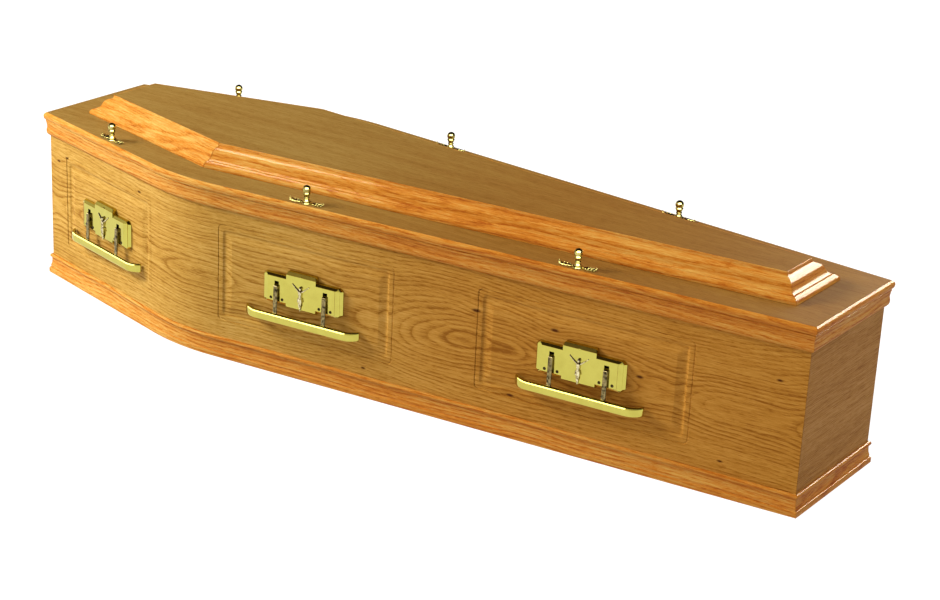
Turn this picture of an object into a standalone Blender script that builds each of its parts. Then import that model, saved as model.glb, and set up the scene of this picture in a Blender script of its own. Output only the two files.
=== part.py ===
"""A veneered oak coffin: kerf-bent sides, a lift-off lid with a raised top, lid screws and swing-bar handles.

Metres, +Z up. The head is at -X, the foot at +X, and the underside is at Z = 0.
"""
import math

import bmesh
import bpy
from mathutils import Matrix, Vector

# Plan of the box, on its outer faces; a half width runs from the centre line
BODY_LENGTH = 1.930
HEAD_HALF_WIDTH = 0.156
SHOULDER_HALF_WIDTH = 0.292
FOOT_HALF_WIDTH = 0.154
SHOULDER_FROM_HEAD = 0.514
BEND_RADIUS = 0.500
BEND_STEPS = 7

# Boards
SIDE_HEIGHT = 0.3677
SIDE_THICKNESS = 0.018
END_THICKNESS = 0.018
BASE_THICKNESS = 0.015
LID_THICKNESS = 0.018
LID_OVERHANG = 0.0060
RAISED_BOARD_THICKNESS = 0.009
GAP = 0.0003

# Lid moulding, from the lid's top down: a rounded nose, a fillet, a cove and a bead
LID_NOSE_WIDTH = 0.0061
LID_NOSE_HEIGHT = 0.0170
LID_FILLET_PROJECTION = 0.0083
LID_FILLET_HEIGHT = 0.0055
LID_COVE_PROJECTION = 0.0063
LID_BEAD_PROJECTION = 0.0073
LID_MOULDING_HEIGHT = 0.0520

# Base moulding, from the top down: a bead, a hollow flare and a lip on the floor
BASE_BEAD_PROJECTION = 0.0060
BASE_BEAD_RADIUS = 0.0045
BASE_NECK_PROJECTION = 0.0024
BASE_FLARE_PROJECTION = 0.0049
BASE_LIP_PROJECTION = 0.0082
BASE_LIP_HEIGHT = 0.0120
BASE_MOULDING_HEIGHT = 0.0450

# Raised frame on the lid: how far its flat top lies in from the box's outer face, and its section
RAISED_INSET = 0.1140
RAISED_WIDTH = 0.0440
RAISED_HEIGHT = 0.0450
RAISED_LAND = 0.0020
RAISED_REBATE = 0.0080

# Routed panels on the sides, one around each handle
PANEL_CENTRE_HEIGHT = 0.192
PANEL_HEIGHT = 0.216
PANEL_CORNER_RADIUS = 0.011
PANEL_INNER_RADIUS = 0.003
PANEL_GROOVE_WIDTH = 0.0365
PANEL_GROOVE_DEPTH = 0.0026
PANEL_CORNER_STEPS = 3

# Handles: the run of the side that each is on, its place along that run, and its panel's length
HANDLE_PLACES = {
    "head": ("head", 0.245, 0.354),
    "middle": ("foot", 0.318, 0.434),
    "foot": ("foot", 0.962, 0.470),
}
PLATE_CENTRE_HEIGHT = 0.192
PLATE_DEPTH = 0.0120
PLATE_EDGE_DEPTH = 0.0020
PLATE_STEP_DEPTH = 0.0070
PLATE_STEP_WIDTH = 0.0015
PLATE_HALF_WIDTH = 0.0980
PLATE_END_BEVEL = 0.0150
WING_HALF_HEIGHT = 0.0325
WING_BEVEL = 0.0055
CENTRE_HALF_WIDTH = 0.0365
CENTRE_TOP = 0.0450
CENTRE_TOP_BEVEL = 0.0075
CENTRE_BOTTOM = 0.0365
CENTRE_BOTTOM_BEVEL = 0.0030
HINGE_ABOVE_CENTRE = 0.0050
HINGE_DEPTH = 0.0070
KNUCKLE_RADIUS = 0.0050
ARM_SPACING = 0.1190
ARM_WIDTH = 0.0100
ARM_THICKNESS = 0.0050
ARM_CLEARANCE = 0.0008
POCKET_SIDE_CLEARANCE = 0.0004
POCKET_BACK_WALL = 0.0010
BAR_HALF_LENGTH = 0.1430
BAR_FRONT = 0.0250
BAR_THICKNESS = 0.0105
BAR_HEIGHT = 0.0200
BAR_BELOW_HINGE = 0.0770
BAR_END_RADIUS = 0.0400
BAR_TIP_FRONT = 0.0060
BAR_TIP_THICKNESS = 0.0060
BAR_EDGE_RADIUS = 0.0018

# Relief figure on the handle plate; its other lengths are shares of its height
FIGURE_HEIGHT = 0.0560
FIGURE_FEET_BELOW_CENTRE = 0.0350
FIGURE_DEPTH = 0.0045

# Lid screws: their places along the coffin from its head, and the screw on its plate
SCREW_PLACES = {"head": 0.243, "middle": 0.827, "foot": 1.445}
SCREW_HEIGHT = 0.0360
SCREW_BALL_RADIUS = 0.0090
SCREW_CUP_RADIUS = 0.0083
SCREW_NECK_RADIUS = 0.0055
SCREW_FOOT_RADIUS = 0.0075
SCREW_SEGMENTS = 10
SCREW_PLATE_LENGTH = 0.0840
SCREW_PLATE_THICKNESS = 0.0022
SCREW_BOSS_RADIUS = 0.0110
SCREW_LEAF_HALF_WIDTH = 0.0080

HEAD_X = -BODY_LENGTH / 2
FOOT_X = BODY_LENGTH / 2
HEAD_ANGLE = math.atan2(SHOULDER_HALF_WIDTH - HEAD_HALF_WIDTH, SHOULDER_FROM_HEAD)
FOOT_ANGLE = math.atan2(SHOULDER_HALF_WIDTH - FOOT_HALF_WIDTH, BODY_LENGTH - SHOULDER_FROM_HEAD)
LID_BOTTOM = SIDE_HEIGHT + GAP
LID_TOP = LID_BOTTOM + LID_THICKNESS
RAISED_BOTTOM = LID_TOP + GAP
HANDS = {"near": -1, "far": 1}
ENDS = ("head", "foot")


def start_collections():
    """Empty the scene and return the coffin's collection and the cutters' collection."""
    for item in list(bpy.data.objects):
        bpy.data.objects.remove(item, do_unlink=True)
    made = []
    for name in ("coffin", "cutters"):
        collection = bpy.data.collections.new(name)
        bpy.context.scene.collection.children.link(collection)
        made.append(collection)
    return made


COFFIN, CUTTERS = start_collections()


def make_material(name, colour, roughness, metallic=0.0):
    material = bpy.data.materials.new(name)
    material.use_nodes = True
    shader = material.node_tree.nodes["Principled BSDF"]
    shader.inputs["Base Color"].default_value = (*colour, 1.0)
    shader.inputs["Roughness"].default_value = roughness
    shader.inputs["Metallic"].default_value = metallic
    return material


OAK_VENEER = make_material("oak_veneer", (0.50, 0.29, 0.10), 0.38)
SOLID_OAK = make_material("solid_oak", (0.58, 0.27, 0.075), 0.28)
BRASS = make_material("brass", (0.83, 0.74, 0.25), 0.14, 1.0)


def add_object(name, mesh, material, collection=COFFIN):
    mesh.materials.clear()
    mesh.materials.append(material)
    item = bpy.data.objects.new(name, mesh)
    collection.objects.link(item)
    return item


def add_cutter(name, mesh, material):
    cutter = add_object(name, mesh, material, CUTTERS)
    cutter.display_type = "WIRE"
    cutter.hide_render = True
    return cutter


def mesh_from(shape, name):
    """Turn a bmesh into a mesh with its faces pointing out."""
    bmesh.ops.recalc_face_normals(shape, faces=shape.faces)
    mesh = bpy.data.meshes.new(name)
    shape.to_mesh(mesh)
    shape.free()
    return mesh


# The plan's four lines in the half plane (x, half width), each as its outward normal and distance
LINES = {
    "head_end": ((-1.0, 0.0), -HEAD_X),
    "head_run": ((-math.sin(HEAD_ANGLE), math.cos(HEAD_ANGLE)),
                 -math.sin(HEAD_ANGLE) * HEAD_X + math.cos(HEAD_ANGLE) * HEAD_HALF_WIDTH),
    "foot_run": ((math.sin(FOOT_ANGLE), math.cos(FOOT_ANGLE)),
                 math.sin(FOOT_ANGLE) * FOOT_X + math.cos(FOOT_ANGLE) * FOOT_HALF_WIDTH),
    "foot_end": ((1.0, 0.0), FOOT_X),
}


def meet(first, second, first_offset, second_offset):
    """The point where two of the plan's lines cross, each moved outwards by its own offset."""
    (ax, ay), a = LINES[first]
    (bx, by), b = LINES[second]
    a += first_offset
    b += second_offset
    scale = ax * by - ay * bx
    return (a * by - b * ay) / scale, (ax * b - bx * a) / scale


def bent_side(offset, end_offset):
    """A side's plan from head to foot, rounded at the shoulder."""
    centre_x, centre_y = meet("head_run", "foot_run", -BEND_RADIUS, -BEND_RADIUS)
    radius = BEND_RADIUS + offset
    points = [meet("head_end", "head_run", end_offset, offset)]
    for step in range(BEND_STEPS + 1):
        angle = HEAD_ANGLE - (HEAD_ANGLE + FOOT_ANGLE) * step / BEND_STEPS
        points.append((centre_x - radius * math.sin(angle), centre_y + radius * math.cos(angle)))
    points.append(meet("foot_end", "foot_run", end_offset, offset))
    return points


def arc(centre, radii, start, end, steps):
    """Points on an ellipse's arc, with its angles in degrees."""
    points = []
    for step in range(steps + 1):
        angle = math.radians(start + (end - start) * step / steps)
        points.append((centre[0] + radii[0] * math.cos(angle), centre[1] + radii[1] * math.sin(angle)))
    return points


def loft(sections, closed=False):
    """Bridge a row of like sections into one solid, capped unless it closes on itself."""
    shape = bmesh.new()
    loops = []
    for section in sections:
        ring = [shape.verts.new(point) for point in section]
        loops.append([shape.edges.new((ring[i - 1], ring[i])) for i in range(len(ring))])
    pairs = list(zip(loops, loops[1:]))
    if closed:
        pairs.append((loops[-1], loops[0]))
    else:
        bmesh.ops.contextual_create(shape, geom=loops[0])
        bmesh.ops.contextual_create(shape, geom=loops[-1])
    for first, second in pairs:
        bmesh.ops.bridge_loops(shape, edges=first + second)
    return shape


def prism(outline, thickness, place):
    """A flat outline, given half its thickness to each side and set in place."""
    shape = bmesh.new()
    ring = [shape.verts.new((a, b, -thickness / 2)) for a, b in outline]
    face = shape.faces.new(ring)
    raised = bmesh.ops.extrude_face_region(shape, geom=[face])
    lifted = [item for item in raised["geom"] if isinstance(item, bmesh.types.BMVert)]
    bmesh.ops.translate(shape, verts=lifted, vec=(0, 0, thickness))
    bmesh.ops.transform(shape, matrix=place, verts=shape.verts)
    return shape


def plan_board(outline, bottom, thickness):
    """A flat board from half its outline, which is mirrored about the centre line."""
    mirrored = [(x, -y) for x, y in reversed(outline)]
    return prism(outline + mirrored, thickness, Matrix.Translation((0, 0, bottom + thickness / 2)))


def side_strip(profile, hand):
    """A strip along a bent side; its profile is a list of (offset, height)."""
    paths = [bent_side(offset, offset - GAP) for offset, _ in profile]
    sections = []
    for station in range(len(paths[0])):
        sections.append([
            (path[station][0], hand * path[station][1], height)
            for path, (_, height) in zip(paths, profile)
        ])
    return loft(sections)


def end_strip(profile, end):
    """A strip across an end, mitred to the side strips."""
    sections = []
    for hand in HANDS.values():
        section = []
        for offset, height in profile:
            x, half_width = meet(end + "_end", end + "_run", offset, offset - GAP)
            section.append((x, hand * half_width, height))
        sections.append(section)
    return loft(sections)


def straight_strip(profile, run, neighbours, hand):
    """A strip along one straight run of a side, mitred to both its neighbours."""
    sections = []
    for neighbour in neighbours:
        section = []
        for offset, height in profile:
            x, half_width = meet(neighbour, run, offset - GAP, offset)
            section.append((x, hand * half_width, height))
        sections.append(section)
    return loft(sections)


def lid_moulding_profile():
    """The lid's edge: rebated over the lid board above, and lapping the box's sides below."""
    inner = LID_OVERHANG + GAP
    nose_bottom = LID_TOP - LID_NOSE_HEIGHT
    fillet_bottom = nose_bottom - LID_FILLET_HEIGHT
    bottom = LID_TOP - LID_MOULDING_HEIGHT
    low = fillet_bottom - bottom
    nose_middle = LID_TOP - LID_NOSE_HEIGHT * 0.47
    nose_radius = LID_NOSE_WIDTH * 0.88
    nose_centre = (LID_OVERHANG + LID_NOSE_WIDTH - nose_radius, nose_middle)
    points = [(inner, LID_TOP)]
    points += arc(nose_centre, (nose_radius, LID_TOP - nose_middle), 90, 0, 4)
    points += arc(nose_centre, (nose_radius, nose_middle - nose_bottom), -25, -65, 2)
    points += [(LID_FILLET_PROJECTION, nose_bottom), (LID_FILLET_PROJECTION, fillet_bottom)]
    points += [(LID_COVE_PROJECTION + (LID_FILLET_PROJECTION - LID_COVE_PROJECTION) * 0.4,
                bottom + low * 0.93)]
    points += [(LID_COVE_PROJECTION, bottom + low * 0.70), (LID_COVE_PROJECTION, bottom + low * 0.61)]
    points += [(LID_BEAD_PROJECTION * 0.97, bottom + low * 0.44)]
    points += [(LID_BEAD_PROJECTION, bottom + low * 0.30)]
    points += [(LID_BEAD_PROJECTION * 0.89, bottom + low * 0.13), (LID_BEAD_PROJECTION * 0.55, bottom)]
    points += [(GAP, bottom), (GAP, SIDE_HEIGHT), (inner, SIDE_HEIGHT)]
    return points


def base_moulding_profile():
    """The moulding along the floor: its bead, its flare and its rounded lip."""
    bead_middle = BASE_MOULDING_HEIGHT - BASE_BEAD_RADIUS
    bead_bottom = bead_middle - BASE_BEAD_RADIUS
    flare = bead_bottom - BASE_LIP_HEIGHT
    flare_width = BASE_FLARE_PROJECTION - BASE_NECK_PROJECTION
    lip_round = BASE_LIP_HEIGHT * 0.125
    points = [(GAP, 0.0), (GAP, BASE_MOULDING_HEIGHT)]
    points += arc((BASE_BEAD_PROJECTION - BASE_BEAD_RADIUS, bead_middle),
                  (BASE_BEAD_RADIUS, BASE_BEAD_RADIUS), 90, -67, 4)
    for out, up in ((0.0, 0.92), (0.06, 0.68), (0.34, 0.42), (1.0, 0.20), (0.86, 0.10), (1.0, 0.0)):
        points.append((BASE_NECK_PROJECTION + flare_width * out, BASE_LIP_HEIGHT + flare * up))
    points += [(BASE_LIP_PROJECTION - lip_round, BASE_LIP_HEIGHT)]
    points += [(BASE_LIP_PROJECTION, BASE_LIP_HEIGHT - lip_round), (BASE_LIP_PROJECTION, 0.0)]
    return points


def raised_moulding_profile():
    """The raised frame: fillet, sloping shelf, steep face, grooved ledge and a rounded lip."""
    shape = [(0.0, 1.0), (0.016, 0.874), (0.05, 0.83), (0.16, 0.80), (0.28, 0.75), (0.36, 0.70),
             (0.41, 0.64), (0.48, 0.51), (0.55, 0.385), (0.61, 0.335), (0.70, 0.305), (0.72, 0.265),
             (0.765, 0.258), (0.78, 0.275), (0.86, 0.245), (0.93, 0.195), (0.985, 0.13), (1.0, 0.08),
             (1.0, 0.0)]
    shelf = RAISED_BOTTOM + RAISED_HEIGHT - RAISED_BOARD_THICKNESS - GAP
    land = -RAISED_INSET - RAISED_LAND
    points = []
    for out, up in shape:
        points.append((-RAISED_INSET + RAISED_WIDTH * out, RAISED_BOTTOM + RAISED_HEIGHT * up))
    points += [(land - RAISED_REBATE, RAISED_BOTTOM), (land - RAISED_REBATE, shelf)]
    points += [(land, shelf), (land, RAISED_BOTTOM + RAISED_HEIGHT)]
    return points


def run_frame(run, along, hand):
    """The place at a distance along a straight run, turned so that its own -Y points out of the side."""
    if run == "head":
        angle = HEAD_ANGLE
        start = (HEAD_X, HEAD_HALF_WIDTH)
    else:
        angle = -FOOT_ANGLE
        start = (HEAD_X + SHOULDER_FROM_HEAD, SHOULDER_HALF_WIDTH)
    x = start[0] + along * math.cos(angle)
    y = hand * (start[1] + along * math.sin(angle))
    turn = hand * angle + (math.pi if hand > 0 else 0.0)
    return Matrix.Translation((x, y, 0.0)) @ Matrix.Rotation(turn, 4, "Z")


def rounded_rectangle(half_width, half_height, radius):
    """Points around a rectangle with rounded corners."""
    points = []
    for corner, (across, up) in enumerate(((1, 1), (-1, 1), (-1, -1), (1, -1))):
        centre = (across * (half_width - radius), up * (half_height - radius))
        points += arc(centre, (radius, radius), 90 * corner, 90 * corner + 90, PANEL_CORNER_STEPS)
    return points


def make_panel_cutter(label, run, along, length, hand):
    """The ring that routs a panel: a quirk, a flat band, a step down and a long hollow."""
    above = 0.0010
    depth = -PANEL_GROOVE_DEPTH
    groove = [(0.0, above), (0.0, 0.0), (0.04, depth * 0.62), (0.10, depth * 0.20),
              (0.36, depth * 0.20), (0.40, depth * 0.94), (0.47, depth), (0.72, depth * 0.62),
              (1.0, 0.0), (1.0, above)]
    rings = []
    for share, level in groove:
        inset = share * PANEL_GROOVE_WIDTH
        radius = PANEL_CORNER_RADIUS + (PANEL_INNER_RADIUS - PANEL_CORNER_RADIUS) * share
        outline = rounded_rectangle(length / 2 - inset, PANEL_HEIGHT / 2 - inset, radius)
        rings.append([(u, -level, v) for u, v in outline])
    sections = [list(section) for section in zip(*rings)]
    shape = loft(sections, closed=True)
    place = run_frame(run, along, hand) @ Matrix.Translation((0, 0, PANEL_CENTRE_HEIGHT))
    bmesh.ops.transform(shape, matrix=place, verts=shape.verts)
    name = "panel_cutter_" + label
    return add_cutter(name, mesh_from(shape, name), OAK_VENEER)


def make_box():
    """The base board, both bent sides with their routed panels, and both ends, mitred together."""
    inside = bent_side(-SIDE_THICKNESS - GAP, -END_THICKNESS - GAP)
    base = plan_board(inside, 0.0, BASE_THICKNESS)
    add_object("base_board", mesh_from(base, "base_board"), OAK_VENEER)
    for side, hand in HANDS.items():
        outer = bent_side(0.0, -GAP)
        inner = bent_side(-SIDE_THICKNESS, -END_THICKNESS - GAP)
        sections = []
        for (ox, oy), (ix, iy) in zip(outer, inner):
            sections.append([(ox, hand * oy, 0.0), (ox, hand * oy, SIDE_HEIGHT),
                             (ix, hand * iy, SIDE_HEIGHT), (ix, hand * iy, 0.0)])
        name = "side_board_" + side
        board = add_object(name, mesh_from(loft(sections), name), OAK_VENEER)
        for place, (run, along, length) in HANDLE_PLACES.items():
            cut = board.modifiers.new("panel_" + place, "BOOLEAN")
            cut.operation = "DIFFERENCE"
            cut.object = make_panel_cutter(side + "_" + place, run, along, length, hand)
    for end in ENDS:
        outer = meet(end + "_end", end + "_run", 0.0, -GAP)
        inner = meet(end + "_end", end + "_run", -END_THICKNESS, -SIDE_THICKNESS - GAP)
        sections = []
        for hand in HANDS.values():
            sections.append([(outer[0], hand * outer[1], 0.0), (outer[0], hand * outer[1], SIDE_HEIGHT),
                             (inner[0], hand * inner[1], SIDE_HEIGHT), (inner[0], hand * inner[1], 0.0)])
        name = end + "_board"
        add_object(name, mesh_from(loft(sections), name), OAK_VENEER)


def make_mouldings(family, profile):
    """Four mitred strips around the coffin, bent at the shoulders."""
    for side, hand in HANDS.items():
        name = family + side
        add_object(name, mesh_from(side_strip(profile, hand), name), SOLID_OAK)
    for end in ENDS:
        name = family + end
        add_object(name, mesh_from(end_strip(profile, end), name), SOLID_OAK)


def make_lid():
    """The lid board and its mouldings, with the raised frame and the board in its rebate."""
    outline = bent_side(LID_OVERHANG, LID_OVERHANG)
    board = plan_board(outline, LID_BOTTOM, LID_THICKNESS)
    add_object("lid_board", mesh_from(board, "lid_board"), OAK_VENEER)
    make_mouldings("lid_moulding_", lid_moulding_profile())
    profile = raised_moulding_profile()
    for side, hand in HANDS.items():
        for end, neighbours in (("head", ("head_end", "foot_run")), ("foot", ("head_run", "foot_end"))):
            name = "raised_moulding_" + side + "_" + end
            strip = straight_strip(profile, end + "_run", neighbours, hand)
            add_object(name, mesh_from(strip, name), SOLID_OAK)
    for end in ENDS:
        name = "raised_moulding_" + end
        add_object(name, mesh_from(end_strip(profile, end), name), SOLID_OAK)
    edge = -RAISED_INSET - RAISED_LAND - GAP
    outline = [meet("head_end", "head_run", edge, edge), meet("head_run", "foot_run", edge, edge),
               meet("foot_end", "foot_run", edge, edge)]
    top_board = plan_board(outline, RAISED_BOTTOM + RAISED_HEIGHT - RAISED_BOARD_THICKNESS,
                           RAISED_BOARD_THICKNESS)
    add_object("raised_board", mesh_from(top_board, "raised_board"), OAK_VENEER)


# Handles: in a handle's own frame X runs along the side, -Y points out of it, and Z = 0 is
# the plate's middle height.

def plate_section(depth, end_bevel, share):
    """The plate's outline at one depth: two wings and a taller middle, drawn in by its bevels."""
    half_width = PLATE_HALF_WIDTH - end_bevel
    wing = WING_HALF_HEIGHT - WING_BEVEL * share
    top = CENTRE_TOP - CENTRE_TOP_BEVEL * share
    bottom = CENTRE_BOTTOM - CENTRE_BOTTOM_BEVEL * share
    corners = [(half_width, -wing), (half_width, wing), (CENTRE_HALF_WIDTH, wing),
               (CENTRE_HALF_WIDTH, top)]
    corners += [(-u, v) for u, v in reversed(corners)]
    corners += [(-CENTRE_HALF_WIDTH, -wing), (-CENTRE_HALF_WIDTH, -bottom),
                (CENTRE_HALF_WIDTH, -bottom), (CENTRE_HALF_WIDTH, -wing)]
    return [(u, -depth, v) for u, v in corners]


def plate_body():
    """The plate: a thin upright edge, then bevels, with a small step half way up each end."""
    rise = PLATE_DEPTH - PLATE_EDGE_DEPTH
    step_share = (PLATE_STEP_DEPTH - PLATE_EDGE_DEPTH) / rise
    step_bevel = (PLATE_END_BEVEL - PLATE_STEP_WIDTH) * step_share
    return loft([
        plate_section(GAP, 0.0, 0.0),
        plate_section(PLATE_EDGE_DEPTH, 0.0, 0.0),
        plate_section(PLATE_STEP_DEPTH, step_bevel, step_share),
        plate_section(PLATE_STEP_DEPTH + 0.0002, step_bevel + PLATE_STEP_WIDTH, step_share),
        plate_section(PLATE_DEPTH, PLATE_END_BEVEL, 1.0),
    ])


def pocket_cutter(centre):
    """The pocket that an arm's knuckle and neck turn in."""
    reach = math.hypot(PLATE_DEPTH + ARM_CLEARANCE + ARM_THICKNESS - HINGE_DEPTH, KNUCKLE_RADIUS)
    low = HINGE_ABOVE_CENTRE - KNUCKLE_RADIUS - ARM_CLEARANCE
    high = HINGE_ABOVE_CENTRE + reach + ARM_CLEARANCE
    front = PLATE_DEPTH + 0.002
    width = ARM_WIDTH + 2 * POCKET_SIDE_CLEARANCE
    shape = bmesh.new()
    bmesh.ops.create_cube(shape, size=1.0)
    bmesh.ops.scale(shape, vec=(width, front - POCKET_BACK_WALL, high - low), verts=shape.verts)
    middle = (centre, -(front + POCKET_BACK_WALL) / 2, (high + low) / 2)
    bmesh.ops.translate(shape, vec=middle, verts=shape.verts)
    return shape


def limb(start, end, start_radius, end_radius, segments=6):
    """A tapered limb between two points."""
    start = Vector(start)
    end = Vector(end)
    axis = end - start
    turn = axis.to_track_quat("Z", "Y").to_matrix().to_4x4()
    shape = bmesh.new()
    bmesh.ops.create_cone(shape, cap_ends=True, segments=segments, radius1=start_radius,
                          radius2=end_radius, depth=axis.length,
                          matrix=Matrix.Translation((start + end) / 2) @ turn)
    return shape


def figure_parts():
    """A small relief figure with raised arms, its lengths as shares of its height."""
    h = FIGURE_HEIGHT
    middle_depth = PLATE_DEPTH + FIGURE_DEPTH * 0.30

    def at(u, v):
        return (u * h, -middle_depth, v * h - FIGURE_FEET_BELOW_CENTRE)

    head = bmesh.new()
    bmesh.ops.create_uvsphere(head, u_segments=6, v_segments=5, radius=0.062 * h)
    bmesh.ops.translate(head, vec=at(0.010, 0.87), verts=head.verts)
    return {
        "head": head,
        "torso": limb(at(0, 0.79), at(0, 0.46), 0.085 * h, 0.058 * h),
        "cloth": limb(at(0, 0.48), at(0, 0.34), 0.075 * h, 0.078 * h),
        "legs": limb(at(0, 0.37), at(0.01, 0.0), 0.066 * h, 0.030 * h),
        "left_arm": limb(at(-0.03, 0.75), at(-0.357, 1.0), 0.034 * h, 0.022 * h),
        "right_arm": limb(at(0.03, 0.75), at(0.357, 1.0), 0.034 * h, 0.022 * h),
    }


def combine(item, label, shape, operation):
    """Add a Boolean modifier that takes a shape away or joins it on."""
    name = item.name + "_" + label
    step = item.modifiers.new(label, "BOOLEAN")
    step.operation = operation
    step.object = add_cutter(name, mesh_from(shape, name), BRASS)


def finished_mesh(pattern, name):
    """The pattern's mesh with its modifiers applied; the pattern itself is removed."""
    bpy.context.view_layer.update()
    graph = bpy.context.evaluated_depsgraph_get()
    mesh = bpy.data.meshes.new_from_object(pattern.evaluated_get(graph), depsgraph=graph)
    mesh.name = name
    bpy.data.objects.remove(pattern, do_unlink=True)
    return mesh


def make_plate_mesh():
    """One handle plate with its two pockets and its figure, which all the handles share."""
    pattern = add_cutter("plate_pattern", mesh_from(plate_body(), "plate_pattern"), BRASS)
    for label, centre in (("left_pocket", -ARM_SPACING / 2), ("right_pocket", ARM_SPACING / 2)):
        combine(pattern, label, pocket_cutter(centre), "DIFFERENCE")
    for label, shape in figure_parts().items():
        combine(pattern, label, shape, "UNION")
    return finished_mesh(pattern, "handle_plate")


def bar_outline():
    """The grip bar from above: straight in front, its ends swept back towards the side."""
    sweep = math.acos(1 - (BAR_FRONT - BAR_TIP_FRONT) / BAR_END_RADIUS)
    bend = BAR_HALF_LENGTH - BAR_END_RADIUS * math.sin(sweep)
    outer = []
    inner = []
    steps = 4
    for step in range(steps + 1):
        share = step / steps
        turn = sweep * share
        u = bend + BAR_END_RADIUS * math.sin(turn)
        w = BAR_FRONT - BAR_END_RADIUS * (1 - math.cos(turn))
        thickness = BAR_THICKNESS + (BAR_TIP_THICKNESS - BAR_THICKNESS) * share
        outer.append((u, w))
        inner.append((u - thickness * math.sin(turn), w - thickness * math.cos(turn)))
    right = outer + inner[::-1]
    return right + [(-u, w) for u, w in reversed(right)]


def arm_outline():
    """An arm from the side: a knuckle, a neck out of its pocket and a strap down to the bar."""
    inner = PLATE_DEPTH + ARM_CLEARANCE - HINGE_DEPTH
    outer = inner + ARM_THICKNESS
    bar_back = BAR_FRONT - BAR_THICKNESS - HINGE_DEPTH
    bar_top = BAR_HEIGHT - BAR_BELOW_HINGE
    rooted = bar_top - BAR_HEIGHT * 0.5
    back = bar_back + BAR_EDGE_RADIUS / 2
    front = bar_back + ARM_THICKNESS
    shoulder = ARM_THICKNESS * 0.4
    points = arc((0, 0), (KNUCKLE_RADIUS, KNUCKLE_RADIUS), 270, 90, 4)
    points += [(outer - shoulder, KNUCKLE_RADIUS), (outer, KNUCKLE_RADIUS - shoulder)]
    points += [(front, bar_top), (front, rooted), (back, rooted), (back, bar_top)]
    points += [(inner, -KNUCKLE_RADIUS - shoulder), (inner, -KNUCKLE_RADIUS)]
    return points


def make_bar_mesh():
    """The grip bar and its two arms as one casting, with its origin on the hinge."""
    plan = Matrix(((1, 0, 0, 0), (0, -1, 0, HINGE_DEPTH),
                   (0, 0, 1, BAR_HEIGHT / 2 - BAR_BELOW_HINGE), (0, 0, 0, 1)))
    grip = prism(bar_outline(), BAR_HEIGHT, plan)
    pattern = add_cutter("bar_pattern", mesh_from(grip, "bar_pattern"), BRASS)
    rounding = pattern.modifiers.new("edges", "BEVEL")
    rounding.width = BAR_EDGE_RADIUS
    rounding.segments = 1
    rounding.limit_method = "ANGLE"
    rounding.angle_limit = math.radians(50)
    for label, centre in (("left_arm", -ARM_SPACING / 2), ("right_arm", ARM_SPACING / 2)):
        side_view = Matrix(((0, 0, 1, centre), (-1, 0, 0, 0), (0, 1, 0, 0), (0, 0, 0, 1)))
        combine(pattern, label, prism(arm_outline(), ARM_WIDTH, side_view), "UNION")
    return finished_mesh(pattern, "handle_bar")


def make_handles():
    """Three handles on each side, each under an empty at its plate's middle."""
    plate = make_plate_mesh()
    bar = make_bar_mesh()
    lift = Matrix.Translation((0, 0, PLATE_CENTRE_HEIGHT))
    for side, hand in HANDS.items():
        for place, (run, along, _) in HANDLE_PLACES.items():
            label = side + "_" + place
            holder = bpy.data.objects.new("handle_" + label, None)
            COFFIN.objects.link(holder)
            holder.matrix_world = run_frame(run, along, hand) @ lift
            back_plate = add_object("handle_plate_" + label, plate, BRASS)
            back_plate.parent = holder
            grip = add_object("handle_bar_" + label, bar, BRASS)
            grip.parent = holder
            grip.location = (0, -HINGE_DEPTH, HINGE_ABOVE_CENTRE)


def screw_profile():
    """The turned screw from its top down, as (radius, height above its foot)."""
    ball_middle = SCREW_HEIGHT - SCREW_BALL_RADIUS
    ball = arc((0, ball_middle), (SCREW_BALL_RADIUS, SCREW_BALL_RADIUS), 90, -35, 4)
    ball[0] = (0.0, SCREW_HEIGHT)
    cup = ball_middle - SCREW_BALL_RADIUS * 0.85
    return ball + [(SCREW_CUP_RADIUS, cup), (SCREW_NECK_RADIUS, cup * 0.62),
                   (SCREW_NECK_RADIUS, cup * 0.42), (SCREW_FOOT_RADIUS, cup * 0.16),
                   (SCREW_FOOT_RADIUS, 0.0), (0.0, 0.0)]


def make_screw_mesh():
    """One turned lid screw, which all six share."""
    shape = bmesh.new()
    verts = [shape.verts.new((radius, 0, height)) for radius, height in screw_profile()]
    for first, second in zip(verts, verts[1:]):
        shape.edges.new((first, second))
    mesh = bpy.data.meshes.new("screw_pattern")
    shape.to_mesh(mesh)
    shape.free()
    pattern = add_cutter("screw_pattern", mesh, BRASS)
    turning = pattern.modifiers.new("turning", "SCREW")
    turning.steps = SCREW_SEGMENTS
    turning.render_steps = SCREW_SEGMENTS
    turning.use_merge_vertices = True
    turning.merge_threshold = 0.00005
    turned = finished_mesh(pattern, "lid_screw")
    turned.shade_smooth()
    turned.set_sharp_from_angle(angle=math.radians(35))
    return turned


def screw_plate_outline():
    """The lid screw's plate from above: a round boss between two lobed leaf sprays."""
    half_length = SCREW_PLATE_LENGTH / 2
    boss_edge = math.degrees(math.asin(SCREW_LEAF_HALF_WIDTH * 0.45 / SCREW_BOSS_RADIUS))
    boss = arc((0, 0), (SCREW_BOSS_RADIUS, SCREW_BOSS_RADIUS), 90, boss_edge, 3)
    leaves = [(0.40, 0.55), (0.50, 0.95), (0.60, 0.65), (0.70, 1.0), (0.82, 0.60), (0.94, 0.70),
              (1.0, 0.25)]
    spray = [(half_length * along, SCREW_LEAF_HALF_WIDTH * across) for along, across in leaves]
    quarter = boss + spray
    half = [(-u, v) for u, v in reversed(quarter[1:])] + quarter
    return half + [(u, -v) for u, v in reversed(half)]


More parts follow.
